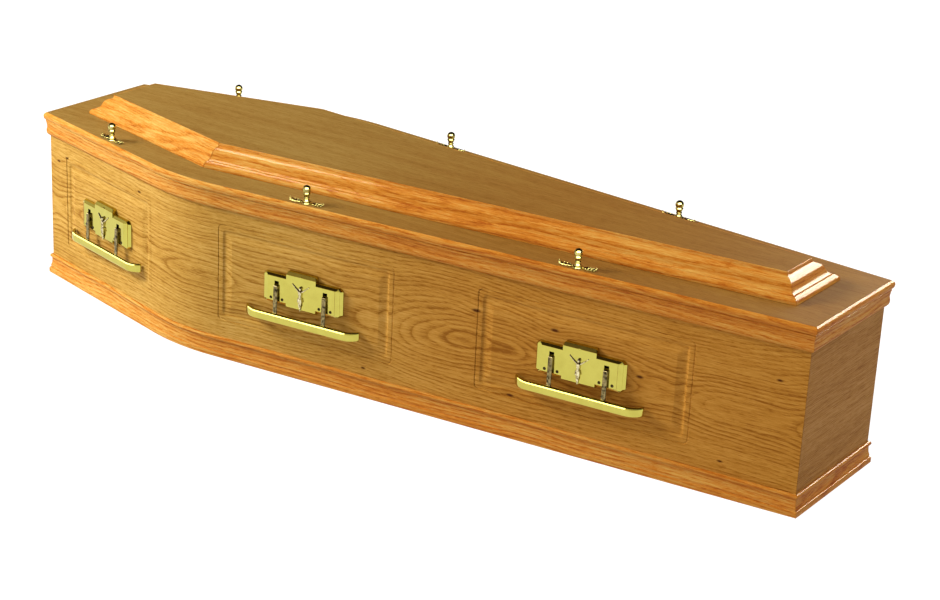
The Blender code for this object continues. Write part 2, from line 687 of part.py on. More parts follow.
def make_lid_screws():
    """Three screws along each side of the lid, on their plates, over the middle of the side board."""
    screw = make_screw_mesh()
    flat = prism(screw_plate_outline(), SCREW_PLATE_THICKNESS,
                 Matrix.Translation((0, 0, SCREW_PLATE_THICKNESS / 2)))
    plate = mesh_from(flat, "lid_screw_plate")
    inward = Matrix.Translation((0, SIDE_THICKNESS / 2, LID_TOP + GAP))
    for side, hand in HANDS.items():
        for place, from_head in SCREW_PLACES.items():
            if from_head < SHOULDER_FROM_HEAD:
                frame = run_frame("head", from_head / math.cos(HEAD_ANGLE), hand)
            else:
                past_shoulder = from_head - SHOULDER_FROM_HEAD
                frame = run_frame("foot", past_shoulder / math.cos(FOOT_ANGLE), hand)
            label = side + "_" + place
            holder = bpy.data.objects.new("screw_place_" + label, None)
            COFFIN.objects.link(holder)
            holder.matrix_world = frame @ inward
            under = add_object("lid_screw_plate_" + label, plate, BRASS)
            under.parent = holder
            over = add_object("lid_screw_" + label, screw, BRASS)
            over.parent = holder
            over.location = (0, 0, SCREW_PLATE_THICKNESS + GAP)


make_box()
make_mouldings("base_moulding_", base_moulding_profile())
make_lid()
make_handles()
make_lid_screws()
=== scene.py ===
"""The finish of a veneered oak coffin: varnished oak, moulded edges and polished brass fittings.

Metres, +Z up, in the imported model's own frame: the head is at -X and the foot at +X.
"""
import math

import bmesh
import bpy
from mathutils import Matrix, Vector


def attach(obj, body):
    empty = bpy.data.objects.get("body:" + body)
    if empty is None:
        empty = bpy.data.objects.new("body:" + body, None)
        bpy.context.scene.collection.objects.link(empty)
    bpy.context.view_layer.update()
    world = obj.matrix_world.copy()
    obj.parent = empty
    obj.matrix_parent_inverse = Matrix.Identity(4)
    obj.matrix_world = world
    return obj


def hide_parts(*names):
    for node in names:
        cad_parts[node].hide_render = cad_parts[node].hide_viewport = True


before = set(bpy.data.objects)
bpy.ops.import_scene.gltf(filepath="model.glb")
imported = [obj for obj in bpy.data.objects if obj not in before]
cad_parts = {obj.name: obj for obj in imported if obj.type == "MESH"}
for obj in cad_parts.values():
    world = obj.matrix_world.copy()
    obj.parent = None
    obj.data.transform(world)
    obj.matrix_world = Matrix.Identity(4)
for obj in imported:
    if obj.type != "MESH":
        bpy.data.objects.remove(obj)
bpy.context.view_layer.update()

# Plan of the box, on its outer faces; a half width runs from the centre line
BODY_LENGTH = 1.930
HEAD_HALF_WIDTH = 0.156
SHOULDER_HALF_WIDTH = 0.292
FOOT_HALF_WIDTH = 0.154
SHOULDER_FROM_HEAD = 0.514
BEND_RADIUS = 0.500
BEND_STEPS = 24
SIDE_HEIGHT = 0.3677
SIDE_THICKNESS = 0.018
END_THICKNESS = 0.018
LID_THICKNESS = 0.018
LID_OVERHANG = 0.0060
RAISED_BOARD_THICKNESS = 0.009
GAP = 0.0003
WELD_DISTANCE = 0.00002
CUT_CLEARANCE = 0.0010

# The sharpest turn, in degrees, that each kind of piece still shades as one smooth surface
EDGE_ANGLES = {"board": 24, "strip": 32, "plate": 28, "bar": 35, "screw": 38, "spray": 40}

# Lid moulding, from the lid's top down: a rounded nose, a fillet, a cove and a bead
LID_NOSE_WIDTH = 0.0061
LID_NOSE_HEIGHT = 0.0170
LID_FILLET_PROJECTION = 0.0083
LID_FILLET_HEIGHT = 0.0055
LID_COVE_PROJECTION = 0.0063
LID_BEAD_PROJECTION = 0.0073
LID_MOULDING_HEIGHT = 0.0520

# Base moulding, from the top down: a bead, a hollow flare and a lip on the floor
BASE_BEAD_PROJECTION = 0.0060
BASE_BEAD_RADIUS = 0.0045
BASE_NECK_PROJECTION = 0.0024
BASE_FLARE_PROJECTION = 0.0049
BASE_LIP_PROJECTION = 0.0082
BASE_LIP_HEIGHT = 0.0120
BASE_MOULDING_HEIGHT = 0.0450

# Raised frame on the lid: how far its flat top lies in from the box's outer face, and its section
RAISED_INSET = 0.1140
RAISED_WIDTH = 0.0440
RAISED_HEIGHT = 0.0450
RAISED_LAND = 0.0020
RAISED_REBATE = 0.0080
RAISED_EDGE_RADIUS = 0.0009

# Routed panels on the sides, one around each handle
PANEL_CENTRE_HEIGHT = 0.192
PANEL_HEIGHT = 0.216
PANEL_CORNER_RADIUS = 0.011
PANEL_INNER_RADIUS = 0.003
PANEL_GROOVE_WIDTH = 0.0365
PANEL_GROOVE_DEPTH = 0.0026
PANEL_CORNER_STEPS = 10

# Handles: the run of the side that each is on, its place along that run, and its panel's length
HANDLE_PLACES = {
    "head": ("head", 0.245, 0.354),
    "middle": ("foot", 0.318, 0.434),
    "foot": ("foot", 0.962, 0.470),
}
PLATE_CENTRE_HEIGHT = 0.192
PLATE_DEPTH = 0.0120
PLATE_EDGE_DEPTH = 0.0020
PLATE_STEP_DEPTH = 0.0070
PLATE_STEP_WIDTH = 0.0015
PLATE_STEP_HEIGHT = 0.0008
PLATE_CORNER_CLIP = 0.0060
PLATE_HALF_WIDTH = 0.0980
PLATE_END_BEVEL = 0.0150
PLATE_EDGE_ROUNDING = 0.0007
WING_HALF_HEIGHT = 0.0325
WING_BEVEL = 0.0055
CENTRE_HALF_WIDTH = 0.0365
CENTRE_TOP = 0.0450
CENTRE_TOP_BEVEL = 0.0075
CENTRE_BOTTOM = 0.0365
CENTRE_BOTTOM_BEVEL = 0.0030
HINGE_ABOVE_CENTRE = 0.0050
HINGE_DEPTH = 0.0070
KNUCKLE_RADIUS = 0.0050
ARM_SPACING = 0.1190
ARM_WIDTH = 0.0100
ARM_THICKNESS = 0.0050
ARM_CLEARANCE = 0.0008
ARM_EDGE_RADIUS = 0.0023
ARM_EDGE_ANGLE = math.radians(70)
POCKET_SIDE_CLEARANCE = 0.0004
POCKET_BACK_WALL = 0.0010
BAR_HALF_LENGTH = 0.1430
BAR_FRONT = 0.0250
BAR_THICKNESS = 0.0105
BAR_HEIGHT = 0.0200
BAR_BELOW_HINGE = 0.0770
BAR_END_RADIUS = 0.0400
BAR_TIP_FRONT = 0.0060
BAR_TIP_THICKNESS = 0.0060
BAR_SECTION_POINTS = 28
BAR_BEND_STEPS = 12
BAR_TIP_STEPS = (20, 40, 58, 72, 82)
BAR_SQUARENESS_ABOVE = 0.78
BAR_SQUARENESS_BELOW = 0.55
FIXING_RADIUS = 0.0034
FIXING_HEIGHT = 0.0016
FIXING_FROM_ARM = 0.0140
FIXING_BELOW_CENTRE = 0.0210
FIXING_SLOT_TURN = 0.7
BOSS_RADIUS = 0.0026

# Relief figure on the handle plate; its other lengths are shares of its height
FIGURE_HEIGHT = 0.0560
FIGURE_FEET_BELOW_CENTRE = 0.0350
FIGURE_VOXEL = 0.00050
HEAD_TURN = 0.25
FIGURE_HEAD = (
    ((0.016, 0.880, 0.035), (0.050, 0.052, 0.066)),
    ((0.012, 0.905, 0.020), (0.060, 0.050, 0.060)),
)
FIGURE_BODY = (
    ((0.006, 0.84, 0.01), (0.0, 0.77, 0.01), 0.030, 0.036),
    ((0.0, 0.745, 0.01), (0.0, 0.62, 0.02), 0.082, 0.066),
    ((0.0, 0.62, 0.01), (0.0, 0.50, 0.01), 0.064, 0.058),
    ((0.0, 0.47, 0.01), (0.0, 0.38, 0.02), 0.070, 0.074),
    ((-0.078, 0.49, 0.03), (-0.100, 0.34, 0.03), 0.024, 0.014),
)
FIGURE_LIMBS = (
    ((0.034, 0.38, 0.02), (0.030, 0.215, 0.035), 0.044, 0.033),
    ((0.030, 0.215, 0.035), (0.010, 0.06, 0.01), 0.031, 0.019),
    ((0.008, 0.05, 0.015), (0.004, 0.0, 0.025), 0.020, 0.013),
    ((0.078, 0.760, 0.0), (0.205, 0.860, 0.0), 0.033, 0.025),
    ((0.205, 0.860, 0.0), (0.335, 0.975, 0.0), 0.024, 0.017),
)
FIGURE_PAIRS = (
    ((0.040, 0.735, 0.055), (0.040, 0.026, 0.034)),
    ((0.352, 0.992, 0.0), (0.024, 0.016, 0.022)),
)

# Lid screws: their places along the coffin from its head, and the screw on its plate
SCREW_PLACES = {"head": 0.243, "middle": 0.827, "foot": 1.445}
SCREW_HEIGHT = 0.0360
SCREW_BALL_RADIUS = 0.0090
SCREW_CUP_RADIUS = 0.0083
SCREW_NECK_RADIUS = 0.0055
SCREW_FOOT_RADIUS = 0.0075
SCREW_SEGMENTS = 40
SCREW_PLATE_LENGTH = 0.0840
SCREW_PLATE_THICKNESS = 0.0022
SCREW_BOSS_RADIUS = 0.0110
SCREW_LEAF_HALF_WIDTH = 0.0080
SPRAY_VOXEL = 0.00045
BOSS_SEGMENTS = 36
SPRAY_LEAVES = ((0.36, 0.36, 0.11, 0.9), (0.50, 0.50, 0.13, 0.8), (0.66, 0.52, 0.13, 0.7),
                (0.82, 0.36, 0.10, 0.6))
SPRAY_CURL = ((0.90, 0.6), (0.955, 1.1), (0.985, 1.9), (0.985, 2.7), (0.950, 3.1))

# The camera's place, turn and lens, solved from the photograph's edges
CAMERA_PLACE = (2.53124, -3.58384, 1.85345)
CAMERA_AZIMUTH = 0.5953
CAMERA_ELEVATION = 0.3722
CAMERA_ROLL = 0.0498
CAMERA_LENS = 84.465
SENSOR_WIDTH = 36.0

HEAD_X = -BODY_LENGTH / 2
FOOT_X = BODY_LENGTH / 2
HEAD_ANGLE = math.atan2(SHOULDER_HALF_WIDTH - HEAD_HALF_WIDTH, SHOULDER_FROM_HEAD)
FOOT_ANGLE = math.atan2(SHOULDER_HALF_WIDTH - FOOT_HALF_WIDTH, BODY_LENGTH - SHOULDER_FROM_HEAD)
LID_BOTTOM = SIDE_HEIGHT + GAP
LID_TOP = LID_BOTTOM + LID_THICKNESS
RAISED_BOTTOM = LID_TOP + GAP
HANDS = {"near": -1, "far": 1}
ENDS = ("head", "foot")


class Recipe:
    """The nodes of a material or the studio, added by short calls that each return a socket."""

    def __init__(self, owner, shader="Principled BSDF"):
        self.owner = owner
        owner.use_nodes = True
        self.tree = owner.node_tree
        self.shader = self.tree.nodes[shader]

    def feed(self, socket, value):
        """Link a socket, or set a plain value."""
        if isinstance(value, bpy.types.NodeSocket):
            self.tree.links.new(value, socket)
        else:
            socket.default_value = value

    def node(self, kind, inputs, output=0, **settings):
        made = self.tree.nodes.new("ShaderNode" + kind)
        for key, value in settings.items():
            setattr(made, key, value)
        for key, value in inputs.items():
            self.feed(made.inputs[key], value)
        return made.outputs[output]

    def maths(self, operation, *values):
        return self.node("Math", dict(enumerate(values)), operation=operation)

    def vector(self, operation, first, second, output=0):
        return self.node("VectorMath", {0: first, 1: second}, output, operation=operation)

    def parts(self, vector):
        """The three numbers of a vector."""
        return self.node("SeparateXYZ", {0: vector}).node.outputs[:3]

    def join(self, x, y, z):
        return self.node("CombineXYZ", {0: x, 1: y, 2: z})

    def noise(self, place, stretch, detail=2.0, roughness=0.5):
        """Noise in lumps a metre long divided by the stretch on each axis."""
        scaled = self.vector("MULTIPLY", place, stretch)
        return self.node("TexNoise", {"Vector": scaled, "Scale": 1.0, "Detail": detail,
                                      "Roughness": roughness})

    def remap(self, value, low, high, new_low=0.0, new_high=1.0, smooth=False):
        kind = "SMOOTHSTEP" if smooth else "LINEAR"
        inputs = {"Value": value, "From Min": low, "From Max": high, "To Min": new_low,
                  "To Max": new_high}
        return self.node("MapRange", inputs, interpolation_type=kind)

    def ramp(self, value, stops):
        """A colour ramp from a list of (position, colour)."""
        socket = self.node("ValToRGB", {"Fac": value})
        ladder = socket.node.color_ramp
        while len(ladder.elements) < len(stops):
            ladder.elements.new(0.5)
        for element, (position, colour) in zip(ladder.elements, stops):
            element.position = position
            element.color = (*colour, 1.0)
        return socket

    def tint(self, share, first, second, mode="MIX"):
        return self.node("Mix", {0: share, 6: first, 7: second}, 2, data_type="RGBA", blend_type=mode)

    def bump(self, height, strength, distance):
        return self.node("Bump", {"Height": height, "Strength": strength, "Distance": distance})

    def finish(self, **sockets):
        """Feed the shader's sockets, named with underscores for spaces."""
        for key, value in sockets.items():
            self.feed(self.shader.inputs[key.replace("_", " ")], value)
        return self.owner


def new_material(name):
    return Recipe(bpy.data.materials.new(name))


# The plan's four lines in the half plane (x, half width), each as its outward normal and distance
LINES = {
    "head_end": ((-1.0, 0.0), -HEAD_X),
    "head_run": ((-math.sin(HEAD_ANGLE), math.cos(HEAD_ANGLE)),
                 -math.sin(HEAD_ANGLE) * HEAD_X + math.cos(HEAD_ANGLE) * HEAD_HALF_WIDTH),
    "foot_run": ((math.sin(FOOT_ANGLE), math.cos(FOOT_ANGLE)),
                 math.sin(FOOT_ANGLE) * FOOT_X + math.cos(FOOT_ANGLE) * FOOT_HALF_WIDTH),
    "foot_end": ((1.0, 0.0), FOOT_X),
}


def meet(first, second, first_offset, second_offset):
    """The point where two of the plan's lines cross, each moved outwards by its own offset."""
    (ax, ay), a = LINES[first]
    (bx, by), b = LINES[second]
    a += first_offset
    b += second_offset
    scale = ax * by - ay * bx
    return (a * by - b * ay) / scale, (ax * b - bx * a) / scale


BEND_CENTRE = meet("head_run", "foot_run", -BEND_RADIUS, -BEND_RADIUS)


def bent_side(offset, end_offset):
    """A side's plan from head to foot, rounded at the shoulder."""
    radius = BEND_RADIUS + offset
    points = [meet("head_end", "head_run", end_offset, offset)]
    for step in range(BEND_STEPS + 1):
        angle = HEAD_ANGLE - (HEAD_ANGLE + FOOT_ANGLE) * step / BEND_STEPS
        points.append((BEND_CENTRE[0] - radius * math.sin(angle),
                       BEND_CENTRE[1] + radius * math.cos(angle)))
    points.append(meet("foot_end", "foot_run", end_offset, offset))
    return points


def arc(centre, radii, start, end, steps):
    """Points on an ellipse's arc, with its angles in degrees."""
    points = []
    for step in range(steps + 1):
        angle = math.radians(start + (end - start) * step / steps)
        points.append((centre[0] + radii[0] * math.cos(angle), centre[1] + radii[1] * math.sin(angle)))
    return points


def flowing(points, steps=4):
    """A smooth curve through a few points."""
    curve = [points[0]]
    padded = [points[0]] + list(points) + [points[-1]]
    for before, start, end, after in zip(padded, padded[1:], padded[2:], padded[3:]):
        for step in range(1, steps + 1):
            t = step / steps
            curve.append(tuple(
                0.5 * (2 * b + (c - a) * t + (2 * a - 5 * b + 4 * c - d) * t * t
                       + (3 * b - a - 3 * c + d) * t ** 3)
                for a, b, c, d in zip(before, start, end, after)))
    return curve


def loft(sections, closed=False):
    """Bridge a row of like sections into one solid, capped unless it closes on itself."""
    shape = bmesh.new()
    loops = []
    for section in sections:
        ring = [shape.verts.new(point) for point in section]
        loops.append([shape.edges.new((ring[i - 1], ring[i])) for i in range(len(ring))])
    pairs = list(zip(loops, loops[1:]))
    if closed:
        pairs.append((loops[-1], loops[0]))
    else:
        bmesh.ops.contextual_create(shape, geom=loops[0])
        bmesh.ops.contextual_create(shape, geom=loops[-1])
    for first, second in pairs:
        bmesh.ops.bridge_loops(shape, edges=first + second)
    return shape


def prism(outline, thickness, place):
    """A flat outline, given half its thickness to each side and set in place."""
    shape = bmesh.new()
    ring = [shape.verts.new((a, b, -thickness / 2)) for a, b in outline]
    face = shape.faces.new(ring)
    raised = bmesh.ops.extrude_face_region(shape, geom=[face])
    lifted = [item for item in raised["geom"] if isinstance(item, bmesh.types.BMVert)]
    bmesh.ops.translate(shape, verts=lifted, vec=(0, 0, thickness))
    bmesh.ops.transform(shape, matrix=place, verts=shape.verts)
    return shape


def mesh_from(shape, name):
    """Turn a bmesh into a mesh with its faces pointing out."""
    bmesh.ops.recalc_face_normals(shape, faces=shape.faces)
    mesh = bpy.data.meshes.new(name)
    shape.to_mesh(mesh)
    shape.free()
    return mesh


def in_scene(name, data):
    """A new object in the scene."""
    item = bpy.data.objects.new(name, data)
    bpy.context.scene.collection.objects.link(item)
    return item


def turned(profile, segments):
    """A round shape from its (radius, height) profile, closed at its poles."""
    shape = bmesh.new()
    verts = [shape.verts.new((radius, 0, height)) for radius, height in profile]
    edges = [shape.edges.new(pair) for pair in zip(verts, verts[1:])]
    bmesh.ops.spin(shape, geom=verts + edges, cent=(0, 0, 0), axis=(0, 0, 1), dvec=(0, 0, 0),
                   angle=math.tau, steps=segments, use_merge=True, use_duplicate=False)
    bmesh.ops.remove_doubles(shape, verts=shape.verts, dist=WELD_DISTANCE)
    return shape


def settled(mesh, name, modifiers):
    """The mesh with a list of (kind, settings) modifiers applied."""
    holder = in_scene(name, mesh)
    for kind, settings in modifiers:
        step = holder.modifiers.new(kind.lower(), kind)
        for key, value in settings.items():
            setattr(step, key, value)
    bpy.context.view_layer.update()
    graph = bpy.context.evaluated_depsgraph_get()
    result = bpy.data.meshes.new_from_object(holder.evaluated_get(graph), depsgraph=graph)
    result.name = name
    bpy.data.objects.remove(holder, do_unlink=True)
    return result


def carved(mesh, name, cuts):
    """The mesh with some shapes taken away."""
    helpers = [in_scene("helper", mesh_from(shape, "helper")) for shape in cuts]
    result = settled(mesh, name, [("BOOLEAN", {"operation": "DIFFERENCE", "object": helper,
                                               "solver": "EXACT"}) for helper in helpers])
    for helper in helpers:
        bpy.data.objects.remove(helper, do_unlink=True)
    return result


def gathered(parts, name):
    """One mesh from several, each as (mesh, material index)."""
    shape = bmesh.new()
    for mesh, index in parts:
        start = len(shape.faces)
        shape.from_mesh(mesh)
        shape.faces.ensure_lookup_table()
        for face in shape.faces[start:]:
            face.material_index = index
    mesh = bpy.data.meshes.new(name)
    shape.to_mesh(mesh)
    shape.free()
    return mesh


def soften(mesh, angle):
    """Smooth shading that breaks at edges sharper than an angle in degrees."""
    mesh.shade_smooth()
    mesh.set_sharp_from_angle(angle=math.radians(angle))


# The pieces that a lamp's reflection shows in, or for the oak's, those that it doesn't show in
SHINES = {role: bpy.data.collections.new(role.replace(" ", "_"))
          for role in ("oak shine", "bar shine", "screw shine")}


def add_piece(name, mesh, materials, slot, body="coffin", even_shading=False):
    """Put a finished mesh in the scene in a node's stead, riding on its body."""
    for material in materials:
        mesh.materials.append(material)
    piece = in_scene(name, mesh)
    if even_shading:
        weights = piece.modifiers.new("even_shading", "WEIGHTED_NORMAL")
        weights.keep_sharp = True
    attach(piece, body)
    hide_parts(name)
    if slot == "brass":
        SHINES["oak shine"].objects.link(piece)
        if name.startswith("lid_screw"):
            SHINES["screw shine"].objects.link(piece)
        if name.startswith("handle_bar"):
            SHINES["bar shine"].objects.link(piece)


# Grain: every oak piece holds, at each point, its place along the grain, across it and in depth.

GRAIN_STEP = (2.37, 0.113, 0.0471)


def mark_grain(mesh, where, shift=(0.0, 0.0, 0.0)):
    """Store each point's place in the grain, moved so that no two pieces match."""
    grain = mesh.attributes.new("grain", "FLOAT_VECTOR", "POINT")
    for vertex, item in zip(mesh.vertices, grain.data):
        item.vector = Vector(where(vertex.co)) + Vector(shift)


def side_grain(point):
    """Along the bent side from where its bend starts, up it, and out from its face."""
    x = point[0] - BEND_CENTRE[0]
    y = abs(point[1]) - BEND_CENTRE[1]
    before = x * math.cos(HEAD_ANGLE) + y * math.sin(HEAD_ANGLE)
    after = x * math.cos(FOOT_ANGLE) - y * math.sin(FOOT_ANGLE)
    if before < 0:
        out = -x * math.sin(HEAD_ANGLE) + y * math.cos(HEAD_ANGLE)
        return before, point[2], out - BEND_RADIUS
    if after > 0:
        out = x * math.sin(FOOT_ANGLE) + y * math.cos(FOOT_ANGLE)
        return BEND_RADIUS * (HEAD_ANGLE + FOOT_ANGLE) + after, point[2], out - BEND_RADIUS
    turned = math.atan2(x, y) + HEAD_ANGLE
    return BEND_RADIUS * turned, point[2], math.hypot(x, y) - BEND_RADIUS


def end_grain(point):
    """Across the coffin's end, up it, and out from its face."""
    return point[1], point[2], abs(point[0]) - FOOT_X


def run_grain(run):
    """Along one straight run of a side, up it, and out from its face."""
    (out_x, out_y), distance = LINES[run + "_run"]

    def where(point):
        half_width = abs(point[1])
        along = point[0] * out_y - half_width * out_x
        return along, point[2], point[0] * out_x + half_width * out_y - distance

    return where


def side_strip(profile, hand):
    """A strip along a bent side; its profile is a list of (offset, height)."""
    paths = [bent_side(offset, offset - GAP) for offset, _ in profile]
    sections = []
    for station in range(len(paths[0])):
        sections.append([
            (path[station][0], hand * path[station][1], height)
            for path, (_, height) in zip(paths, profile)
        ])
    return loft(sections)


def mitred_strip(profile, line, joints):
    """A strip along one of the plan's lines, mitred to a (line, hand) at each end."""
    sections = []
    for neighbour, hand in joints:
        section = []
        for offset, height in profile:
            x, half_width = meet(line, neighbour, offset, offset - GAP)
            section.append((x, hand * half_width, height))
        sections.append(section)
    return loft(sections)


def end_strip(profile, end):
    """A strip across an end, mitred to the side strips."""
    return mitred_strip(profile, end + "_end", [(end + "_run", hand) for hand in HANDS.values()])


def lid_moulding_profile():
    """The lid's edge: rebated over the lid board above, and lapping the box's sides below."""
    inner = LID_OVERHANG + GAP
    nose_bottom = LID_TOP - LID_NOSE_HEIGHT
    fillet_bottom = nose_bottom - LID_FILLET_HEIGHT
    bottom = LID_TOP - LID_MOULDING_HEIGHT
    low = fillet_bottom - bottom
    width = LID_NOSE_WIDTH - GAP
    nose = flowing([(0.08, 0.012), (0.42, 0.10), (0.72, 0.205), (0.92, 0.33), (1.0, 0.48), (0.96, 0.68),
                    (0.80, 0.86), (0.58, 0.95)], 3)
    points = [(inner, LID_TOP)]
    points += [(inner + width * out, LID_TOP - LID_NOSE_HEIGHT * down) for out, down in nose]
    fillet_round = LID_FILLET_HEIGHT * 0.16
    points += [(LID_FILLET_PROJECTION - fillet_round, nose_bottom)]
    points += [(LID_FILLET_PROJECTION, nose_bottom - fillet_round)]
    points += [(LID_FILLET_PROJECTION, fillet_bottom + fillet_round)]
    points += [(LID_FILLET_PROJECTION - fillet_round, fillet_bottom)]
    points += flowing([
        (LID_COVE_PROJECTION + (LID_FILLET_PROJECTION - LID_COVE_PROJECTION) * 0.5, bottom + low * 0.97),
        (LID_COVE_PROJECTION, bottom + low * 0.72),
        (LID_COVE_PROJECTION, bottom + low * 0.60),
        (LID_BEAD_PROJECTION * 0.97, bottom + low * 0.44),
        (LID_BEAD_PROJECTION, bottom + low * 0.30),
        (LID_BEAD_PROJECTION * 0.89, bottom + low * 0.12),
        (LID_BEAD_PROJECTION * 0.55, bottom),
    ], 3)
    points += [(GAP, bottom), (GAP, SIDE_HEIGHT), (inner, SIDE_HEIGHT)]
    return points


def base_moulding_profile():
    """The moulding along the floor: its bead, its flare and its rounded lip."""
    bead_middle = BASE_MOULDING_HEIGHT - BASE_BEAD_RADIUS
    bead_bottom = bead_middle - BASE_BEAD_RADIUS
    flare = bead_bottom - BASE_LIP_HEIGHT
    flare_width = BASE_FLARE_PROJECTION - BASE_NECK_PROJECTION
    lip_round = BASE_LIP_HEIGHT * 0.20
    points = [(GAP, 0.0), (GAP, BASE_MOULDING_HEIGHT)]
    points += arc((BASE_BEAD_PROJECTION - BASE_BEAD_RADIUS, bead_middle),
                  (BASE_BEAD_RADIUS, BASE_BEAD_RADIUS), 90, -67, 12)
    curve = flowing([(0.0, 0.92), (0.06, 0.68), (0.34, 0.42), (1.0, 0.20), (0.86, 0.10), (1.0, 0.0)], 3)
    for out, up in curve:
        points.append((BASE_NECK_PROJECTION + flare_width * out, BASE_LIP_HEIGHT + flare * up))
    points += arc((BASE_LIP_PROJECTION - lip_round, BASE_LIP_HEIGHT - lip_round),
                  (lip_round, lip_round), 90, 0, 5)
    points += [(BASE_LIP_PROJECTION, 0.0)]
    return points


def raised_moulding_profile():
    """The raised frame: fillet, sloping shelf, steep face, grooved ledge and a rounded lip."""
    shelf_and_face = flowing([(0.016, 0.874), (0.05, 0.83), (0.16, 0.80), (0.28, 0.75), (0.36, 0.70),
                              (0.41, 0.64), (0.48, 0.51), (0.55, 0.385), (0.61, 0.335), (0.70, 0.305)])
    ledge = flowing([(0.78, 0.275), (0.86, 0.245), (0.93, 0.195), (0.985, 0.13), (1.0, 0.08)])
    shape = shelf_and_face + [(0.72, 0.265), (0.765, 0.258)] + ledge + [(1.0, 0.0)]
    top = RAISED_BOTTOM + RAISED_HEIGHT
    shelf = top - RAISED_BOARD_THICKNESS - GAP
    land = -RAISED_INSET - RAISED_LAND
    points = arc((-RAISED_INSET - RAISED_EDGE_RADIUS, top - RAISED_EDGE_RADIUS),
                 (RAISED_EDGE_RADIUS, RAISED_EDGE_RADIUS), 90, 0, 4)
    for out, up in shape:
        points.append((-RAISED_INSET + RAISED_WIDTH * out, RAISED_BOTTOM + RAISED_HEIGHT * up))
    points += [(land - RAISED_REBATE, RAISED_BOTTOM), (land - RAISED_REBATE, shelf)]
    points += [(land, shelf), (land, top)]
    return points


def run_frame(run, along, hand):
    """The place at a distance along a straight run, turned so that its own -Y points out of the side."""
    if run == "head":
        angle = HEAD_ANGLE
        start = (HEAD_X, HEAD_HALF_WIDTH)
    else:
        angle = -FOOT_ANGLE
        start = (HEAD_X + SHOULDER_FROM_HEAD, SHOULDER_HALF_WIDTH)
    x = start[0] + along * math.cos(angle)
    y = hand * (start[1] + along * math.sin(angle))
    turn = hand * angle + (math.pi if hand > 0 else 0.0)
    return Matrix.Translation((x, y, 0.0)) @ Matrix.Rotation(turn, 4, "Z")


def rounded_rectangle(half_width, half_height, radius):
    """Points around a rectangle with rounded corners."""
    points = []
    for corner, (across, up) in enumerate(((1, 1), (-1, 1), (-1, -1), (1, -1))):
        centre = (across * (half_width - radius), up * (half_height - radius))
        points += arc(centre, (radius, radius), 90 * corner, 90 * corner + 90, PANEL_CORNER_STEPS)
    return points


def panel_cutter(run, along, length, hand):
    """The ring that routs a panel: a quirk, a flat band, a step down and a long hollow."""
    above = CUT_CLEARANCE / PANEL_GROOVE_DEPTH
    groove = [(0.0, above), (0.0, 0.0)]
    groove += flowing([(0.01, -0.30), (0.035, -0.52), (0.07, -0.36), (0.10, -0.20)], 2)
    groove += [(0.31, -0.20)]
    groove += flowing([(0.35, -0.42), (0.42, -0.84), (0.49, -1.0), (0.60, -0.88), (0.73, -0.62),
                       (0.86, -0.30), (1.0, 0.0)], 2)
    groove += [(1.0, above)]
    rings = []
    for share, level in groove:
        inset = share * PANEL_GROOVE_WIDTH
        radius = PANEL_CORNER_RADIUS + (PANEL_INNER_RADIUS - PANEL_CORNER_RADIUS) * share
        outline = rounded_rectangle(length / 2 - inset, PANEL_HEIGHT / 2 - inset, radius)
        rings.append([(u, -level * PANEL_GROOVE_DEPTH, v) for u, v in outline])
    sections = [list(section) for section in zip(*rings)]
    shape = loft(sections, closed=True)
    place = run_frame(run, along, hand) @ Matrix.Translation((0, 0, PANEL_CENTRE_HEIGHT))
    bmesh.ops.transform(shape, matrix=place, verts=shape.verts)
    return shape


def make_side_boards():
    """Both bent sides, each with its three routed panels."""
    for number, (side, hand) in enumerate(HANDS.items()):
        outer = bent_side(0.0, -GAP)
        inner = bent_side(-SIDE_THICKNESS, -END_THICKNESS - GAP)
        sections = []
        for (ox, oy), (ix, iy) in zip(outer, inner):
            sections.append([(ox, hand * oy, 0.0), (ox, hand * oy, SIDE_HEIGHT),
                             (ix, hand * iy, SIDE_HEIGHT), (ix, hand * iy, 0.0)])
        name = "side_board_" + side
        cutters = [panel_cutter(run, along, length, hand) for run, along, length in HANDLE_PLACES.values()]
        mesh = carved(mesh_from(loft(sections), name), name, cuts=cutters)
        mark_grain(mesh, side_grain)
        soften(mesh, EDGE_ANGLES["board"])
        add_piece(name, mesh, [SIDE_VENEER[number]], "oak_veneer", even_shading=True)


def add_strip(name, shape, where, number):
    """A strip of solid oak, with a place in the grain of its own."""
    mesh = mesh_from(shape, name)
    mark_grain(mesh, where, [step * number for step in GRAIN_STEP])
    soften(mesh, EDGE_ANGLES["strip"])
    add_piece(name, mesh, [SOLID_OAK], "solid_oak")


def make_mouldings():
    """The base and lid mouldings and the raised frame, mitred at every corner."""
    number = 1
    for family, profile in (("base_moulding_", base_moulding_profile()),
                            ("lid_moulding_", lid_moulding_profile())):
        for side, hand in HANDS.items():
            add_strip(family + side, side_strip(profile, hand), side_grain, number)
            number += 1
        for end in ENDS:
            add_strip(family + end, end_strip(profile, end), end_grain, number)
            number += 1
    profile = raised_moulding_profile()
    for side, hand in HANDS.items():
        for end, neighbours in (("head", ("head_end", "foot_run")), ("foot", ("head_run", "foot_end"))):
            strip = mitred_strip(profile, end + "_run", [(line, hand) for line in neighbours])
            add_strip("raised_moulding_" + side + "_" + end, strip, run_grain(end), number)
            number += 1
    for end in ENDS:
        add_strip("raised_moulding_" + end, end_strip(profile, end), end_grain, number)
        number += 1


# Handles: in a handle's own frame X runs along the side, -Y points out of it, and Z = 0 is
# the plate's middle height.

